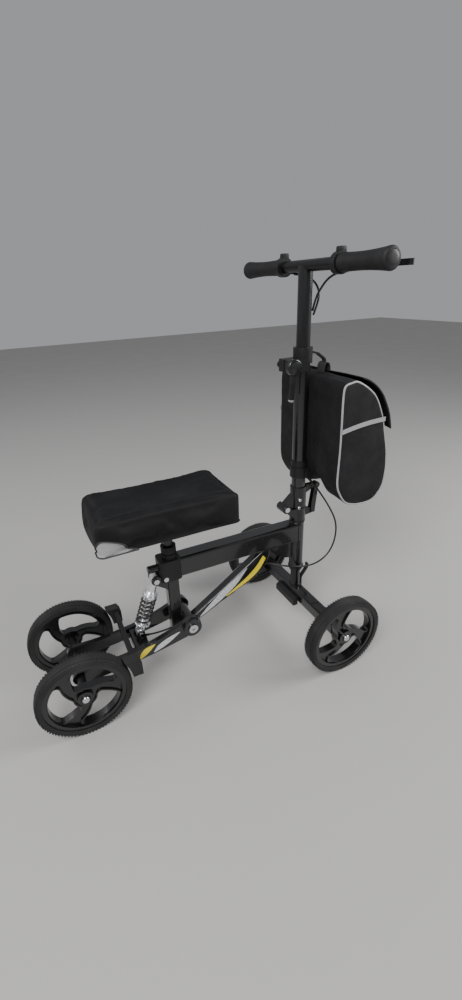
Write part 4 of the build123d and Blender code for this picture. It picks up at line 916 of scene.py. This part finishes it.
# A webbing loop sewn to the top of the bag goes round the hook.
webbing = Finish("black_webbing", (0.01, 0.01, 0.011), 0.72)
webbing.roughen(0.6, 0.82, 80.0)
webbing.tint(webbing.between(webbing.wave(300.0, "Z", 0.8), 0.4, 0.8, 0.0, 0.5), (0.05, 0.05, 0.053))
webbing.bump(webbing.wave(420.0, "Y", 0.6) + webbing.wave(300.0, "Z", 0.6), 0.0005, 0.6)
loop = [
    (0.050, 0.681), (0.0505, 0.690), (0.053, 0.698), (0.058, 0.7005),
    (0.063, 0.698), (0.0655, 0.690), (0.066, 0.682),
]
loop_points = []
inner = curve_through([(x, z, 0) for x, z in loop], 5)
for k, p in enumerate(inner):
    nearby = inner[min(k + 1, len(inner) - 1)] - inner[max(k - 1, 0)]
    outwards = Vector((-nearby.y, nearby.x)).normalized() * 0.0016
    a, b = Vector((head_x + p.x, 0, p.y)), Vector((head_x + p.x + outwards.x, 0, p.y + outwards.y))
    for y, spot in ((-0.0125, a), (0.0125, a), (0.0125, b), (-0.0125, b)):
        loop_points.append(Vector((spot.x, y, spot.z)))
add_piece("bag_hook_loop", loop_points, rings_to_faces(len(inner), 4), webbing, "column", 40)

# ---- Stem, handlebar, grips and levers --------------------------------------------------------------------
# Black anodised alloy bar through the top of the steel stem, with slip-on rubber grips, dark end caps and
# forged brake levers in satin black.
black_alloy = Finish("black_anodised_alloy", (0.006, 0.006, 0.0065), 0.3, 0.1, Specular_IOR_Level=0.4)
black_alloy.roughen(0.24, 0.44, 50.0, 4.0, (1.0, 0.1, 1.0))
black_alloy.grain(0.0001, 0.3, 300.0)
dress(black_alloy, "handlebar", "brake_lever_left", "brake_lever_right")
grip_rubber = Finish("dark_grip_rubber", (0.008, 0.008, 0.0085), 0.5, Specular_IOR_Level=0.35)
grip_rubber.roughen(0.5, 0.72, 30.0, 5.0)
grip_rubber.fleck((0.018, 0.018, 0.019), 0.5, 0.8, 0.6, 20.0, 6.0)
grip_rubber.bump(grip_rubber.noise(900.0) + grip_rubber.noise(60.0) * 0.5, 0.0002, 0.5)
dress(grip_rubber, "grips")
cap_plastic = Finish("grey_cap_plastic", (0.022, 0.022, 0.023), 0.5, Specular_IOR_Level=0.35)
cap_plastic.roughen(0.38, 0.55, 60.0)
cap_plastic.grain(0.0002, 0.4, 700.0)
bar_z = 0.893
bar_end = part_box("grips")[1].y
end_profile = [
    (-0.0008, 0.0001), (-0.0008, 0.0118), (0.0004, 0.0122), (0.0013, 0.0105), (0.0018, 0.006), (0.0019, 0.0001)
]
screw_profile = [
    (0, 0.0001), (0, 0.0046), (0.0018, 0.0046), (0.0026, 0.0038),
    (0.0026, 0.0022), (0.0012, 0.002), (0.0012, 0.0001),
]
for side, word in ((1, "left"), (-1, "right")):
    points, faces = turned(end_profile, (head_x, side * bar_end, bar_z), (0, side, 0), 40)
    add_piece(f"grip_cap_{word}", points, faces, cap_plastic, "stem")
    clamp_y = 0.083 if side > 0 else -0.106
    block = bmesh.new()
    bmesh.ops.create_cube(block, size=1.0)
    bmesh.ops.scale(block, vec=(0.017, 0.012, 0.012), verts=block.verts)
    bmesh.ops.bevel(block, geom=block.edges[:], offset=0.0022, segments=3, affect="EDGES", profile=0.5)
    bmesh.ops.translate(block, vec=(head_x + 0.002, clamp_y, bar_z + 0.0205), verts=block.verts)
    points, faces = loose(block)
    add_piece(f"lever_clamp_cap_{word}", points, faces, dark_plastic, "stem")
    points, faces = turned(screw_profile, (head_x + 0.028, clamp_y, 0.8965), (0, 0, 1), 24)
    add_piece(f"lever_screw_{word}", points, faces, chrome, "stem")

# ---- Brake cables -----------------------------------------------------------------------------------------
# Plastic-jacketed steel cable. Both levers' cables enter the stem; one comes out below the clamp, loops
# forward round the head tube and runs back under the frame to the brake bar.
jacket = Finish("cable_jacket", (0.007, 0.007, 0.0075), 0.35)
jacket.roughen(0.28, 0.46, 60.0, 4.0)
jacket.fleck((0.035, 0.035, 0.037), 0.5, 0.8, 0.5, 30.0, 5.0)
jacket.grain(0.0001, 0.3, 600.0)
cable_radius = 0.0022


def cable_line(name, route):
    """The smooth line of a cable through its control points, in metres, read off a NURBS spline."""
    data = bpy.data.curves.new(name, "CURVE")
    data.dimensions = "3D"
    data.resolution_u = 10
    spline = data.splines.new("NURBS")
    spline.points.add(len(route) - 1)
    for point, (x, y, z) in zip(spline.points, route):
        point.co = (x, y, z, 1.0)
    spline.order_u = 3
    spline.use_endpoint_u = True
    holder = bpy.data.objects.new(name, data)
    bpy.context.scene.collection.objects.link(holder)
    bpy.context.view_layer.update()
    line = bpy.data.meshes.new_from_object(holder.evaluated_get(bpy.context.evaluated_depsgraph_get()))
    path = [v.co.copy() for v in line.vertices]
    bpy.data.objects.remove(holder)
    return path


def lay_cable(name, path):
    points, faces = bead(path, cable_radius, 14)
    piece = add_piece(name, points, faces, jacket, None, 60)
    return piece


right_route = [
    (head_x + 0.024, -0.098, 0.880), (head_x + 0.024, -0.072, 0.878), (head_x + 0.023, -0.044, 0.869),
    (head_x + 0.022, -0.024, 0.852), (head_x + 0.020, -0.009, 0.832), (head_x + 0.0174, -0.0045, 0.809),
]
left_route = [
    (head_x + 0.024, 0.075, 0.880), (head_x + 0.025, 0.049, 0.878), (head_x + 0.027, 0.022, 0.871),
    (head_x + 0.027, -0.002, 0.859), (head_x + 0.025, -0.016, 0.841), (head_x + 0.021, -0.014, 0.819),
    (head_x + 0.0166, -0.009, 0.801),
]
right_cable = lay_cable("cable_right_lever", cable_line("right_line", right_route))
left_cable = lay_cable("cable_left_lever", cable_line("left_line", left_route))
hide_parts("cable_upper")
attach(right_cable, "stem")
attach(left_cable, "stem")

loop_route = [
    (head_x + 0.022, -0.013, 0.430), (head_x + 0.037, -0.022, 0.409), (head_x + 0.058, -0.024, 0.378),
    (head_x + 0.082, -0.025, 0.341), (head_x + 0.103, -0.026, 0.300), (head_x + 0.109, -0.026, 0.262),
    (head_x + 0.101, -0.026, 0.222), (head_x + 0.080, -0.026, 0.194), (head_x + 0.046, -0.026, 0.181),
    (head_x + 0.010, -0.025, 0.183), (head_x - 0.022, -0.022, 0.192), (head_x - 0.044, -0.014, 0.196),
    (head_x - 0.064, 0.002, 0.199), (head_x - 0.082, 0.014, 0.201), (head_x - 0.102, 0.017, 0.202),
]
loop_path = cable_line("loop_line", loop_route)
meeting = Vector((head_x + 0.100, -0.026, 0.290))
split = min(range(len(loop_path)), key=lambda k: (loop_path[k] - meeting).length)
front_cable = lay_cable("cable_loop_front", loop_path[: split + 1])
under_cable = lay_cable("cable_loop_under", loop_path[split:])
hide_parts("cable_loop")
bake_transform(front_cable)
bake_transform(under_cable)
rear_route = [
    (head_x - 0.102, 0.017, 0.202), (head_x - 0.122, 0.020, 0.203), (head_x - 0.152, 0.018, 0.188),
    (rear_x + 0.398, 0.016, 0.165), (rear_x + 0.362, 0.016, 0.143), (rear_x + 0.326, 0.018, 0.124),
    (rear_x + 0.288, 0.022, 0.105), (rear_x + 0.244, 0.023, 0.092), (rear_x + 0.200, 0.022, 0.088),
    (rear_x + 0.166, 0.020, 0.097),
]
rear_path = cable_line("rear_line", rear_route)
rear_cable = lay_cable("cable_rear_run", rear_path)
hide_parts("cable_rear")
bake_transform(rear_cable)
ferrule_spots = (
    ("right", right_route[0], right_route[1], "stem"), ("left", left_route[0], left_route[1], "stem"),
    ("column", loop_route[0], loop_route[1], "column"),
    ("brake", rear_route[-1], rear_route[-2], "swing_arm"),
)
for word, at, toward, body in ferrule_spots:
    way = Vector(toward) - Vector(at)
    points, faces = turned(
        [(-0.001, 0.0001), (-0.001, 0.0031), (0.008, 0.0031), (0.0095, 0.0027), (0.0095, 0.0001)], at, way, 20
    )
    add_piece(f"cable_ferrule_{word}", points, faces, blacked_steel, body)

# ---- Floor, light and camera ------------------------------------------------------------------------------
# A plain pale floor under soft studio light from above and in front, with a camera at standing height.
floor_finish = Finish("pale_floor", (0.42, 0.41, 0.40), 0.7)
floor_finish.roughen(0.6, 0.8, 4.0)
floor_mesh = bpy.data.meshes.new("floor")
floor_mesh.from_pydata([(-8, -8, 0), (8, -8, 0), (8, 8, 0), (-8, 8, 0)], [], [(0, 1, 2, 3)])
floor_mesh.materials.append(floor_finish.material)
floor = bpy.data.objects.new("floor", floor_mesh)
bpy.context.scene.collection.objects.link(floor)
world = bpy.data.worlds.new("studio")
world.use_nodes = True
world.node_tree.nodes["Background"].inputs["Color"].default_value = (0.80, 0.81, 0.84, 1.0)
world.node_tree.nodes["Background"].inputs["Strength"].default_value = 0.42
bpy.context.scene.world = world
for name, at, toward, power, size in (
    ("key_light", (-1.5, -1.6, 2.6), (0, 0, 0.4), 95, 1.6),
    ("window_light", (2.2, -0.9, 1.6), (0, 0, 0.5), 50, 1.2),
    ("rear_light", (-2.4, 1.2, 2.2), (0, 0, 0.4), 25, 1.8),
):
    lamp = bpy.data.lights.new(name, "AREA")
    lamp.energy, lamp.size = power, size
    holder = bpy.data.objects.new(name, lamp)
    holder.location = at
    holder.rotation_euler = (Vector(toward) - Vector(at)).to_track_quat("-Z", "Y").to_euler()
    bpy.context.scene.collection.objects.link(holder)

lens = bpy.data.cameras.new("camera")
lens.sensor_fit, lens.sensor_height, lens.lens = "VERTICAL", 36.0, 16.0
lens.shift_x = 0.003
lens.clip_start = 0.02
camera = bpy.data.objects.new("camera", lens)
yaw, pitch, roll = 0.4323, 0.4527, -0.0414
ahead = Vector((sin(yaw) * cos(pitch), cos(yaw) * cos(pitch), -sin(pitch)))
right = Vector((cos(yaw), -sin(yaw), 0))
up = right.cross(ahead)
camera_right = cos(roll) * right + sin(roll) * up
camera_up = cos(roll) * up - sin(roll) * right
turn = Matrix((camera_right, camera_up, -ahead)).transposed().to_4x4()
camera.matrix_world = Matrix.Translation((-0.3245, -0.8353, 0.8664)) @ turn
bpy.context.scene.collection.objects.link(camera)
bpy.context.scene.camera = camera
